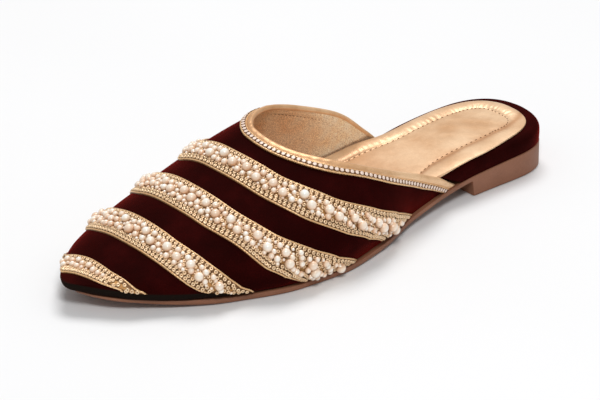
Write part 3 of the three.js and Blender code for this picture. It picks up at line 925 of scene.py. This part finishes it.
# Least distance between stones that fill the bare cloth, t left free at a band's end, and the grid of places
# that are tried, by t and by share of the width.
STONE_ROOM, STONE_END_ROOM, BARE_HEIGHT = 1.95, 0.008, 0.65
BARE_STEPS = (0.004, 0.03)
# Room of a pearl among stones: share of its radius, and millimetres more.
PEARL_CLEAR, PEARL_CLEAR_MORE = 0.75, 0.75
# Direction to which loose stones and pearls are turned.
LOOSE_TURN = np.array([0.3, 1.0, 0.2])
# Large pearls: radius on each band, pace along it, share of the first pace, least half width of the bed, room
# at the end, share of a radius kept inside the bed, and ranges of size, place aside and pace.
LARGE_PEARL = {1: 1.5, 2: 2.25, 3: 2.3, 4: 2.3}
PEARL_PACE, FIRST_PACE, LARGE_BED, LARGE_END, LARGE_INSIDE = 7.0, 0.3, 0.7, 0.8, 0.6
LARGE_SIZES, LARGE_ASIDE, PACES = (0.92, 1.06), (0.1, 0.9), (0.86, 1.14)
# Smaller pearls: radius and how many places are tried, and the same for them.
SMALLER_PEARLS = ((1.5, 3000), (1.15, 5000), (0.82, 5000))
SMALLER_SIZES, SMALLER_BED, SMALLER_END, SMALLER_INSIDE = (0.9, 1.1), 0.3, 0.6, 0.25
PEARL_MARGIN, PEARL_OVERLAP = 3.7, 0.92
# The first band's pearls stop before its narrow outer end, and all stop short of a band's end, as t.
PEARLS_TO = {1: 0.36}
PEARL_END_ROOM, PEARL_LINE_ROOM = 0.016, 0.004
PEARL_SEAT, PEARL_HEIGHT = 0.62, 0.7
# The large pearls are smaller over the inner shoulder: by how much, about which t, and over what spread of t.
SHOULDER_LOSS, SHOULDER_T, SHOULDER_SPREAD = 0.3, -0.34, 0.24
# Models of pearls: least and greatest radius that they serve, sides and rings.
PEARL_MODELS = ((1.7, 9.0, 14, 10), (1.28, 1.7, 12, 8), (0.0, 1.28, 8, 6))
PEARL_TONE, PEARL_TONE_SPREAD = 0.55, 0.24
BAND_SEED = 40


def band_end(n, share):
    """t at which the band ends, share of the way from its rear to its front edge."""
    return mix(*BAND_END[n], share)


def band_line(n, spare=0.0):
    """Fine steps of t from end to end of a band."""
    return FINE[np.abs(FINE) <= max(BAND_END[n]) - spare]


def band_strip(n):
    edge, bed = BAND_HEIGHT, BAND_HEIGHT + BED_RISE
    profile = [
        (0.0, BAND_FOOT), (0.0, BAND_EDGE), (0.03, edge), (0.28, edge), (0.36, bed), (0.64, bed),
        (0.72, edge), (0.97, edge), (1.0, BAND_EDGE), (1.0, BAND_FOOT), (0.5, BAND_FOOT), (0.0, BAND_FOOT),
    ]
    share = np.array(profile)[None, :, 0]
    rows = section_rows(BANDS[n], np.linspace(-1, 1, BAND_STATIONS)[:, None] * band_end(n, share), profile)
    piece = lay_sheet(f"band_{n}_cloth", rows)
    in_bed = (np.abs(share - 0.5) < BED_HALF) * 1.0
    # Away from the bed, under the ring stones, the cloth takes its painted shade.
    paint_by_place(piece, "bed", rows, np.broadcast_to(in_bed, rows.shape[:2]))
    dress(piece, f"band_{n}", BAND_CLOTH)


def band_cords(n):
    cords = []
    room = strip_width(BANDS[n], max(BAND_END[n]))
    for k, offset in enumerate((CORD_OFFSET, -CORD_OFFSET)):
        t = FINE[np.abs(FINE) <= band_end(n, offset / room if offset > 0 else 1 + offset / room)]
        t = paced(last_point(strip_x(BANDS[n], t, offset), t, BAND_HEIGHT), t, CORD_STEP)
        x = strip_x(BANDS[n], t, offset)
        cords.append(twisted_cord(f"band_{n}_cord_{k}", x, t, BAND_HEIGHT, CORD_RADIUS))
    dress(join_pieces(f"band_{n}_cords", cords), f"band_{n}", CORD_GOLD)


def edge_stones(n):
    """Two staggered rows of stones along each edge, one where the band is narrow."""
    strip = BANDS[n]
    first, second = STONE_ROWS
    t = band_line(n)
    outer_row = paced(last_point(strip_x(strip, t, first), t), t, STONE_PITCH, STONE_START)
    inner_row = (outer_row[1:] + outer_row[:-1]) / 2
    spots = []
    for t, offset, least in ((outer_row, first, REAR_ROW_FROM), (inner_row, second, SECOND_ROWS_FROM)):
        room = strip_width(strip, t)
        sides = ((offset / room, 1, least), (1 - offset / room, -1, max(least, FRONT_ROW_FROM)))
        for share, sign, narrowest in sides:
            fits = (np.abs(t) < band_end(n, share) - STONE_END_ROOM) & (room > narrowest)
            spots += row_spots(strip, sign * offset, t[fits], STONE_HEIGHT)
    return spots


def bare_stones(n, spots, pearls):
    """Stones wherever the cloth is bare between the stones of the edges and the pearls."""
    reach = max(BAND_END[n]) - STONE_END_ROOM
    step_t, step_share = BARE_STEPS
    t, across = np.meshgrid(np.arange(-reach, reach, step_t), np.arange(0, 1, step_share), indexing="ij")
    room = strip_width(BANDS[n], t)
    free = np.minimum(across, 1 - across) * room > STONE_ROWS[0]
    free &= np.abs(t) < band_end(n, across) - STONE_END_ROOM
    t, across = t[free], across[free]
    x = strip_at(BANDS[n], t, across)
    taken = np.array([spot[0] for spot in spots + pearls])
    beside_pearls = [PEARL_CLEAR * spot[3] + PEARL_CLEAR_MORE for spot in pearls]
    apart = np.array([STONE_ROOM] * len(spots) + beside_pearls)
    added = []
    for place, up in zip(last_point(x, t, BARE_HEIGHT), outward(x, t)):
        if (np.linalg.norm(taken - place, axis=1) > apart).all():
            taken = np.concatenate([taken, place[None]])
            apart = np.append(apart, STONE_ROOM)
            added.append((place, up, LOOSE_TURN, 1.0))
    return added


def pearl_spots(n, draw):
    """Large pearls at an even pace, then smaller ones wherever they fit beside them."""
    strip = BANDS[n]
    t_line = band_line(n, PEARL_LINE_ROOM)
    run = run_length(last_point(strip_at(strip, t_line, 0.5), t_line, BAND_HEIGHT))
    width = strip_width(strip, t_line)
    found = []

    def fits(s, d, r):
        return all((s - a) ** 2 + (d - b) ** 2 > (PEARL_OVERLAP * (r + c)) ** 2 for a, b, c in found)

    def half_bed(s):
        return np.interp(s, run, width) / 2 - PEARL_MARGIN

    s, side = PEARL_PACE * FIRST_PACE, 1
    while s < run[-1] - LARGE_END:
        bed = half_bed(s)
        shoulder = hump(np.interp(s, run, t_line), SHOULDER_T, SHOULDER_SPREAD)
        r = LARGE_PEARL[n] * draw.uniform(*LARGE_SIZES) * (1 - SHOULDER_LOSS * shoulder)
        if bed > LARGE_BED:
            aside = draw.uniform(*LARGE_ASIDE) * max(bed - LARGE_INSIDE * r, 0.0)
            found.append((s, side * aside, r))
        side = -side
        s += PEARL_PACE * draw.uniform(*PACES)
    for radius, tries in SMALLER_PEARLS:
        for _ in range(tries):
            s = draw.uniform(SMALLER_END, run[-1] - SMALLER_END)
            r = radius * draw.uniform(*SMALLER_SIZES)
            bed = half_bed(s) - SMALLER_INSIDE * r
            d = draw.uniform(-1, 1) * max(bed, 0.0)
            if bed > SMALLER_BED and fits(s, d, r):
                found.append((s, d, r))
    spots = []
    for s, d, r in found:
        t = np.interp(s, run, t_line)
        share = 0.5 + d / np.interp(s, run, width)
        if abs(t) <= band_end(n, share) - PEARL_END_ROOM and t <= PEARLS_TO.get(n, 1.0):
            x = strip_at(strip, t, share)
            spots.append((last_point(x, t, PEARL_HEIGHT + PEARL_SEAT * r), outward(x, t), LOOSE_TURN, r))
    return spots


def jewelled_bands():
    ring = turned_stone(
        "ring_model", radius=0.99, height=0.42, sides=8,
        steps=[(0.08, 0.22), (0.2, 0.18), (0.2, 0.02), (0.12, -0.18), (0.1, 0.06)],
        rim=RING_GOLD, core=AMBER, core_from=0.43,
    )
    models = [pearl_model(f"pearl_{k}", *faces) for k, (_, _, *faces) in enumerate(PEARL_MODELS)]
    for n in BANDS:
        band_strip(n)
        band_cords(n)
        draw = np.random.default_rng(BAND_SEED + n)
        pearls = pearl_spots(n, draw)
        stones = edge_stones(n)
        stones += bare_stones(n, stones, pearls)
        dress(strew(f"band_{n}_stones", ring, stones), f"band_{n}")
        tones = np.clip(draw.normal(PEARL_TONE, PEARL_TONE_SPREAD, len(pearls)), 0, 1)
        pieces = []
        for k, (low, high, _, _) in enumerate(PEARL_MODELS):
            chosen = [i for i, spot in enumerate(pearls) if low <= spot[3] < high]
            if chosen:
                pieces.append(strew(f"pearls_{n}_{k}", models[k], [pearls[i] for i in chosen], tones[chosen]))
        dress(join_pieces(f"band_{n}_pearls", pieces), f"band_{n}")
    clear_away(ring, *models)


# Loops round the sole's plan. Their spokes end short of the heel and of the toe by these lengths.
HUB_HEEL, HUB_TOE = 30, 12
EDGE_SAMPLES = 6000
SHORTEST_SPOKE = 1e-6


def loop_stations(inset, toe_end, spacing):
    """X places of one side, evenly spaced along its edge."""
    start = HEEL_BACK + inset
    x = start + (toe_end - start) * (1 - np.cos(math.pi * np.linspace(0, 1, EDGE_SAMPLES))) / 2
    run = run_length(np.stack([x, plan_reach(x, "outer", inset, toe_end)], -1))
    return np.interp(np.linspace(0, run[-1], int(run[-1] / spacing) + 1), run, x)


class PlanLoop:
    """Closed loop of edge points, with spokes to a line down the middle."""

    def __init__(self, x, outer_inset, inner_inset, toe_end):
        outer = plan_reach(x, "outer", outer_inset, toe_end)
        inner = plan_reach(x, "inner", inner_inset, toe_end)
        self.x = np.concatenate([x, x[::-1][1:]])
        self.y = np.concatenate([outer, -inner[::-1][1:]])
        self.hub = np.clip(self.x, HEEL_BACK + HUB_HEEL, toe_end - HUB_TOE)

    def spokes(self):
        """Length of each spoke."""
        return np.hypot(self.hub - self.x, self.y)

    def inwards(self, depth):
        """Points depth millimetres in from the edge along each spoke, and how deep they come to lie."""
        share = np.minimum(depth / np.maximum(self.spokes(), SHORTEST_SPOKE), 1)
        return mix(self.x, self.hub, share), self.y * (1 - share), share * self.spokes()


# Board: padded platform wrapped in velvet, full width behind the collar and drawn in under the upper.
BOARD_EDGE, BOARD_SWELL, SWELL_TOP = 3.0, 0.3, 0.9
# Half width from which the sides swell, and share of the half width that always stays.
SWELL_FROM, LEAST_HALF = 3, 0.5
BOARD_COVERED_INSET, BOARD_STEP_GAP = 6.2, 0.4
# Where the full width ends on each side, at the board's foot and at its top.
BOARD_STEP = {"outer": (58.2, 71.0), "inner": (56.8, 63.6)}
# Share of the height from which the edge turns over, and the levels of the rings below it.
BROW = 0.72
WALL_LEVELS = [0, 0.04, 0.2, 0.4, 0.58, 0.7]
BROW_TURNS = np.linspace(0.15, 1, 8) * math.pi / 2
SHOWN_RINGS, SHOWN_CROWDING, HIDDEN_RINGS = 90, 1.35, 50


def board_ring(place, inset):
    """Points round the board at one place along it, which may lean with the step."""
    level = np.concatenate([WALL_LEVELS, BROW + (1 - BROW) * np.sin(BROW_TURNS)])
    turn = np.clip((level - BROW) / (1 - BROW), 0, 1)
    draw_in = BOARD_EDGE * (1 - np.sqrt(1 - turn ** 2))
    swell = BOARD_SWELL * np.sin(math.pi * np.clip(level / SWELL_TOP, 0, 1))
    halves = {}
    for side, sign in (("outer", 1), ("inner", -1)):
        x = place(mix(*BOARD_STEP[side], level))
        full = plan_reach(x, side, inset)
        drawn = full - draw_in + (swell - BOARD_SWELL) * (full > SWELL_FROM)
        y = np.maximum(drawn, full * LEAST_HALF)
        halves[side] = np.stack([x, sign * y, feather_height(x) + level * PROFILE["board"](x)], -1)
    return np.concatenate([halves["outer"], halves["inner"][::-1], halves["outer"][:1]])


def velvet_board():
    shown = (1 - np.cos(np.linspace(0, 1, SHOWN_RINGS) * math.pi / 2)) ** SHOWN_CROWDING
    hidden = np.sin(np.linspace(0, 1, HIDDEN_RINGS) * math.pi / 2)
    toe = SOLE_TOE - BOARD_COVERED_INSET
    rings = [board_ring(lambda step: mix(HEEL_BACK, step, share), 0.0) for share in shown]
    for share in hidden:
        rings.append(board_ring(lambda step: mix(step + BOARD_STEP_GAP, toe, share), BOARD_COVERED_INSET))
    piece = lay_sheet("velvet_board", np.stack(rings))
    paint_attribute(piece, "turn", np.zeros(len(piece.data.vertices)))
    dress(piece, "board", VELVET)


# Sock: padded gold leather with a stuffed rim, a sewn channel and a sunk middle.
SOCK_TOE, SOCK_SPACING, SOCK_EDGE = 249.0, 0.62, 0.12
# How far its edge lies in from the sole's at the heel and inside the upper, how much less along each side and
# between which places, and where it goes under the upper.
SOCK_INSET, SOCK_COVERED_INSET = 6.0, 1.8
SIDE_EASE = {"outer": (5.0, 4, 46), "inner": (1.7, 8, 34)}
UNDER_UPPER = (54, 82)
# Rim: height, width, how much wider towards the outer wing and where that ends, and how much lower on each
# side.
SOCK_RIM, SOCK_RIM_WIDTH, WING_BREADTH, WING_END = 1.8, 8.0, 3.4, (60, 90)
OUTER_DROP, INNER_DROP, DROP_RUN = 0.85, 0.6, (2, 12)
RIM_CREST, RIM_FULLNESS, CREST_LEVEL_RUN = 0.46, 1.18, (62, 84)
# Shares of the rim's width, closer together where it turns, and steps from there to the middle.
RIM_STEPS = (
    0, 0.02, 0.07, 0.15, 0.25, 0.36, 0.47, 0.58, 0.67, 0.77, 0.84, 0.91, 0.95, 0.99, 1.03, 1.09, 1.19,
)
MIDDLE_STEPS = 18
# Share of a spoke that the rim's first step may take, and more for each further step.
RIM_SHARE, RIM_SHARE_MORE = 0.6, 0.07
# Channel: the least height of the rim's foot and from which depth, and the stitches' pulls that come and go.
CHANNEL_FLOOR, CHANNEL_FROM = 0.45, 3.4
PULL_INSIDE, PULL_SPREAD, PULL_DEPTH, PULL_SWAY, PULL_MEAN, SEAM_FADE = 1.7, 2.2, 0.22, 0.1, 0.45, 5
PULL_WAVES = ((0.35, 0.43, 0, 0), (0.35, 0.171, 0, 2))
# Middle: height by the channel, rise from there, folds at the heel and broad hollows.
PAD_FLOOR, PAD_RISE, PAD_RISE_RUN, PAD_FADE = 0.5, 0.3, 3.0, 5.0
FOLD_DEPTH, FOLD_PLACE, FOLD_SPREAD, HOLLOW_DEPTH = 0.06, 26, 22, 0.14
# Painted shade under the upper, less on the rim, and in the outer side's channel.
COVERED_SHADE, COVERED_RUN, RIM_SHADE, RIM_SHADE_RUN = 0.8, (45, 120), 0.2, (4, 9)
CHANNEL_SHADE, CHANNEL_INSIDE, CHANNEL_SPREAD = 0.85, 1.2, 1.9
SOCK_STITCH = {"length": 1.9, "width": 0.42}
STITCH_PITCH, STITCH_INSIDE, STITCH_HEIGHT, STITCHES_TO = 3.1, 0.15, 0.74, 150


def sock_inset(x, side):
    """How far the sock's edge lies in from the sole's."""
    less, start, end = SIDE_EASE[side]
    covered = ease(*UNDER_UPPER, x)
    inset = mix(SOCK_INSET - less * ease(start, end, x), SOCK_COVERED_INSET, covered)
    return inset - waist_swell(x) * covered if side == "inner" else inset


def rim_width(x, y):
    """Width of the stuffed rim, broader towards the outer wing."""
    wing = ease(*SIDE_EASE["outer"][1:], x) * (1 - ease(*WING_END, x))
    return SOCK_RIM_WIDTH + WING_BREADTH * wing * (y > 0)


def sock_painted_shade(x, y):
    # Painted shade under the upper, less on the rim, and in the outer side's channel.
    reach = {side: plan_reach(x, side) - sock_inset(x, side) for side in ("outer", "inner")}
    depth = np.where(y > 0, reach["outer"], reach["inner"]) - np.abs(y)
    channel = hump(depth, rim_width(x, y) - CHANNEL_INSIDE, CHANNEL_SPREAD) * (y > 0)
    covered = COVERED_SHADE * ease(*COVERED_RUN, x) * mix(RIM_SHADE, 1.0, ease(*RIM_SHADE_RUN, depth))
    return np.maximum(covered, CHANNEL_SHADE * channel)


def rim_height(depth, x, y, width):
    crest = np.clip(depth / width, 0, 1)
    drop = np.where(y > 0, OUTER_DROP, INNER_DROP) * ease(*DROP_RUN, np.abs(y)) * (1 - ease(*UNDER_UPPER, x))
    rim = (SOCK_RIM - drop) * np.sqrt(np.clip(1 - (2 * (crest - RIM_CREST)) ** 2 / RIM_FULLNESS, 0, 1))
    return np.where(crest < RIM_CREST, mix(rim, SOCK_RIM, ease(*CREST_LEVEL_RUN, x)), rim)


def stitch_pulls(depth, run, width):
    """Dips of the rim at the stitches, fading where the loop starts and ends at the heel."""
    near = hump(depth, width - PULL_INSIDE, PULL_SPREAD) * ease(0, SEAM_FADE, np.minimum(run, run[-1] - run))
    pinch = 0.5 + 0.5 * np.cos(2 * math.pi * run / STITCH_PITCH + 0.9 * np.sin(run * 0.37))
    uneven = PULL_MEAN + waves(run, 0, PULL_WAVES)
    return near * (PULL_DEPTH * pinch * uneven + PULL_SWAY * np.sin(run * 0.29))


def pad_height(beyond, x, y):
    """Height of the sunk middle, beyond millimetres in from the channel."""
    floor = PAD_FLOOR + PAD_RISE * (1 - np.exp(-beyond / PAD_RISE_RUN))
    folds = FOLD_DEPTH * np.sin(0.62 * x + 0.34 * y + 1.6 * np.sin(0.12 * y))
    folds = folds * hump(x, FOLD_PLACE, FOLD_SPREAD)
    hollow = HOLLOW_DEPTH * np.sin(0.06 * x + 0.5) * np.cos(0.09 * y)
    return floor + (1 - np.exp(-beyond / PAD_FADE)) * (folds + hollow)


def sock_height(depth, run, x, y, width):
    rim = rim_height(depth, x, y, width) - stitch_pulls(depth, run, width)
    rim = np.maximum(rim, np.where(depth > CHANNEL_FROM, CHANNEL_FLOOR, 0.0))
    return np.where(depth < width, rim, pad_height(np.clip(depth - width, 0, None), x, y))


def sock_foot(x):
    return board_top(x) + 2 * FIT_GAP


def gold_sock():
    x = loop_stations(SOCK_INSET, SOCK_TOE, SOCK_SPACING)
    loop = PlanLoop(x, sock_inset(x, "outer"), sock_inset(x, "inner"), SOCK_TOE)
    run = run_length(np.stack([loop.x, loop.y], -1))
    long, width = loop.spokes(), rim_width(loop.x, loop.y)
    rows = []
    for share in (1.0, 0.5, 0.0):
        x, y, _ = loop.inwards(long * share)
        rows.append(np.stack([x, y, sock_foot(x)], -1))
    depths = [np.minimum(step * width, long * (RIM_SHARE + RIM_SHARE_MORE * step)) for step in RIM_STEPS]
    rim_end = depths[-1]
    depths += [mix(rim_end, long, share) for share in np.linspace(0, 1, MIDDLE_STEPS)[1:]]
    for depth in depths:
        x, y, real = loop.inwards(depth)
        rows.append(np.stack([x, y, sock_foot(x) + SOCK_EDGE + sock_height(real, run, x, y, width)], -1))
    piece = lay_sheet("gold_sock", np.stack(rows))
    x, y, _ = points_of(piece).T
    paint_attribute(piece, "shade", sock_painted_shade(x, y))
    dress(piece, "sock_lining", SOCK_GOLD)

    x, y, _ = loop.inwards(width + STITCH_INSIDE)
    seam = np.stack([x, y, sock_foot(x) + STITCH_HEIGHT], -1)
    spots = []
    for k in np.searchsorted(run, np.arange(STITCH_PITCH / 2, run[-1], STITCH_PITCH)):
        if loop.x[k] < STITCHES_TO:
            along = seam[min(k + 1, len(run) - 1)] - seam[max(k - 1, 0)]
            spots.append((seam[k], UP, along, 1.0))
    model = stitch_model("stitch", **SOCK_STITCH)
    dress(strew("sock_stitches", model, spots), "sock_lining")
    clear_away(model)


# Outsole: one moulding with a heel block, a smooth border and a rippled tread in the forefoot.
SOLE_TIP, SOLE_SPACING = 255.5, 0.72
# Thickness, and thickness and narrowing of the tip over a stretch at the toe.
SOLE_THICKNESS, SOLE_TOE_THICKNESS, SOLE_TUCK, SOLE_TOE_RUN = 2.5, 1.4, 0.13, (205, 256)
# Rounding of the lower edge, bevel of the upper edge as (depth, drop), and how far in the underside starts.
SOLE_EDGE, TOP_BEVEL, SOLE_BORDER = 0.9, ((0.0, 0.35), (0.1, 0.1), (0.35, 0.0)), 1.2
SOLE_RINGS, EDGE_RINGS = 64, 6
# Shares of a spoke past which border, rounding and bevel never go.
BORDER_SHARE, EDGE_SHARE, BEVEL_SHARE = 0.4, 0.35, 0.3
# Front of the heel block: its bevel's start and slope, the breast, and stations that follow them closely.
HEEL_BREAST, BEVEL_BACK, BEVEL_SLOPE, BREAST_FRONT = 50.0, 0.3, 0.6, 0.6
BREAST_STATIONS = HEEL_BREAST + np.array([-0.9, -0.3, 0.0, 1.2, 1.5, 2.1])
STATION_ROOM = 0.3
TREAD_FROM, TREAD_TO, TREAD_BORDER = 115.5, 247.5, 7.8
# Lengths over which the field's outline rounds in at the waist and at the toe, and step by which its slope is
# taken.
TREAD_WAIST_ROUND, TREAD_TOE_ROUND, SLOPE_STEP = 46.0, 16.0, 0.2
WELL_OUTSIDE = -9.0
GROOVE_WIDTH, GROOVE_DEPTH, GROOVE_BANK = 1.2, 0.6, 1.2
RIPPLE_PITCH, RIPPLE_DEPTH, RIPPLE_LEAN, RIPPLE_SHARPNESS = 3.3, 0.6, 0.42, 1.4
RIPPLE_WAVES = ((0.9, -0.12, 0.17, 0.0), (0.45, 0.3, 0.95, 0.0), (0.35, -0.5, 0.61, 1.0))
# The ripples break up into lumps towards the waist, between these places.
LUMP_SHARE, LUMP_RUN, LUMP_LEAN = 0.85, (138, 162), 0.25
# Round moulding marks that the ripples run round: place and radius, and how many radii round them.
TREAD_MARKS = ((185.0, 3.0, 3.6), (203.0, -21.0, 2.6), (158.0, 22.0, 2.8))
MARK_REACH = 1.7


def tread_half(x, y):
    """Half width of the tread field at x, on the side that y lies on."""
    reach = np.where(y > 0, plan_reach(x, "outer"), plan_reach(x, "inner"))
    waist = 1 - np.clip((x - TREAD_FROM) / TREAD_WAIST_ROUND, 0, 1)
    toe = 1 - np.clip((TREAD_TO - x) / TREAD_TOE_ROUND, 0, 1)
    return (reach - TREAD_BORDER) * np.sqrt((1 - waist ** 2) * (1 - toe ** 2))


def ripples(x, y):
    """Leaning, wavering ripples, 0 to 1."""
    wave = x + RIPPLE_LEAN * y + 1.5 * np.sin(0.4 * y + 1.2 * np.sin(0.08 * x)) + waves(x, y, RIPPLE_WAVES)
    for mark_x, mark_y, radius in TREAD_MARKS:
        away = np.hypot(x - mark_x, y - mark_y)
        wave = wave + (away - radius - wave % RIPPLE_PITCH) * np.exp(-(away / (MARK_REACH * radius)) ** 4)
    return (0.5 + 0.5 * np.cos(2 * math.pi * wave / RIPPLE_PITCH)) ** RIPPLE_SHARPNESS


def lumps(x, y):
    """Broken lumps of the tread near the waist, 0 to 1."""
    lump = np.sin(1.25 * x + 1.9 * np.sin(0.47 * y)) * np.sin(1.05 * y + 2.1 * np.sin(0.39 * x + 0.8))
    return 0.5 + 0.5 * lump


def tread(x, y):
    """How far the underside is cut up into the sole: a grooved outline round ripples and lumps."""
    slope = (tread_half(x + SLOPE_STEP, y) - tread_half(x - SLOPE_STEP, y)) / (2 * SLOPE_STEP)
    inside = (tread_half(x, y) - np.abs(y)) / np.hypot(1, slope)
    inside = np.where((x < TREAD_FROM) | (x > TREAD_TO), WELL_OUTSIDE, inside)
    groove = GROOVE_DEPTH * np.clip(1 - (inside / GROOVE_WIDTH) ** 2, 0, 1)
    patchy = 0.55 + 0.45 * np.sin(0.21 * y + 0.16 * x)
    broken = LUMP_SHARE * (1 - ease(*LUMP_RUN, x + LUMP_LEAN * y)) * patchy
    relief = RIPPLE_DEPTH * mix(ripples(x, y), lumps(x, y), broken)
    field = relief * ease(GROOVE_WIDTH, GROOVE_WIDTH + GROOVE_BANK, inside)
    return np.where(inside > GROOVE_WIDTH, field, groove)


def sole_bottom(x):
    """Height of the underside without its tread."""
    under = PROFILE["top"](x) - mix(SOLE_THICKNESS, SOLE_TOE_THICKNESS, ease(*SOLE_TOE_RUN, x))
    heel = BEVEL_SLOPE * np.clip(x - HEEL_BREAST + BEVEL_BACK, 0, None)
    return np.where(x < HEEL_BREAST + BREAST_FRONT, heel, under)


def moulded_sole():
    x = loop_stations(0.0, SOLE_TIP, SOLE_SPACING)
    x = x[(x < BREAST_STATIONS[0] - STATION_ROOM) | (x > BREAST_STATIONS[-1] + STATION_ROOM)]
    loop = PlanLoop(np.sort(np.concatenate([x, BREAST_STATIONS])), 0.0, 0.0, SOLE_TIP)
    loop.y = loop.y * (1 - SOLE_TUCK * ease(*SOLE_TOE_RUN, loop.x))
    long, top, bottom = loop.spokes(), PROFILE["top"](loop.x), sole_bottom(loop.x)
    rows = []

    def add_ring(depth, height):
        x, y, _ = loop.inwards(depth)
        rows.append(np.stack([x, y, height(x, y) if callable(height) else height], -1))

    for share in np.linspace(1, 0, SOLE_RINGS)[:-1]:
        depth = mix(np.minimum(SOLE_BORDER, long * BORDER_SHARE), long, share)
        add_ring(depth, lambda x, y: sole_bottom(x) + tread(x, y))
    for turn in np.linspace(0, math.pi / 2, EDGE_RINGS):
        depth = np.minimum(SOLE_EDGE * (1 - math.sin(turn)), long * EDGE_SHARE)
        add_ring(depth, bottom + SOLE_EDGE * (1 - math.cos(turn)))
    for share in (0.35, 0.7):
        add_ring(0.0, mix(bottom + SOLE_EDGE, top - TOP_BEVEL[0][1], share))
    for depth, drop in TOP_BEVEL:
        add_ring(np.minimum(depth, long * BEVEL_SHARE), top - drop)
    for share in (0.35, 0.7, 1.0):
        add_ring(long * share, lambda x, y: PROFILE["top"](x))
    piece = lay_sheet("moulded_sole", np.stack(rows), angle=48)
    dress(piece, "outsole", RUBBER)


# Camera, floor and light.
VIEW_TURN, VIEW_RISE, VIEW_DISTANCE = 0.6902, 0.44209, 1.822
VIEW_TARGET = np.array([130.3, 0.3, 12.4])
VIEW_LENS, VIEW_SENSOR, VIEW_CLIP = 245.0, 36.0, (0.05, 50.0)
FLOOR_SIZE, FLOOR_DROP = 12, 0.0002
# Lights: name, metres to the front, to the right and up, size and power.
LIGHTS = (("back_key", -0.95, 0.05, 1.95, 1.2, 28), ("front_fill", 1.0, 0.1, 1.2, 0.45, 9))
SKY = 0.36


def set_up(name, data, place, back):
    """Puts a camera or light at its place, looking against back."""
    holder = bpy.data.objects.new(name, data)
    bpy.context.scene.collection.objects.link(holder)
    holder.location = place
    holder.rotation_euler = (-back).to_track_quat("-Z", "Y").to_euler()
    return holder


def studio():
    front = Vector((math.sin(VIEW_TURN), math.cos(VIEW_TURN), 0))
    right = Vector((-math.cos(VIEW_TURN), math.sin(VIEW_TURN), 0))
    up = Vector(UP)
    back = front * math.cos(VIEW_RISE) + up * math.sin(VIEW_RISE)
    lens = bpy.data.cameras.new("camera")
    lens.lens, lens.sensor_width = VIEW_LENS, VIEW_SENSOR
    lens.clip_start, lens.clip_end = VIEW_CLIP
    target = Vector((VIEW_TARGET + TO_FRAME) * MM)
    bpy.context.scene.camera = set_up("camera", lens, target + back * VIEW_DISTANCE, back)

    floor = start_from(
        bpy.ops.mesh.primitive_plane_add, "floor", size=FLOOR_SIZE, location=(0, 0, -FLOOR_DROP)
    )
    paper = Finish("pale_paper", Specular_IOR_Level=0.1)
    tone = paper.ramp(paper.noise(400), (0.3, (0.86, 0.86, 0.865, 1)), (0.7, (0.88, 0.88, 0.885, 1)))
    floor.data.materials.append(paper.done(tone, paper.spread(paper.noise(60), 0.8, 0.95)))

    for name, forward, sideways, height, size, power in LIGHTS:
        light = bpy.data.lights.new(name, "AREA")
        light.shape, light.size, light.energy = "DISK", size, power
        place = front * forward + right * sideways + up * height
        set_up(name, light, place, place)

    world = bpy.data.worlds.new("studio")
    world.use_nodes = True
    background = world.node_tree.nodes["Background"]
    background.inputs["Color"].default_value = WHITE
    background.inputs["Strength"].default_value = SKY
    bpy.context.scene.world = world
    bpy.context.scene.view_settings.view_transform = "Standard"


studio()
moulded_sole()
velvet_board()
gold_sock()
velvet_upper()
gold_lining()
collar_roll()
collar_stones()
jewelled_bands()
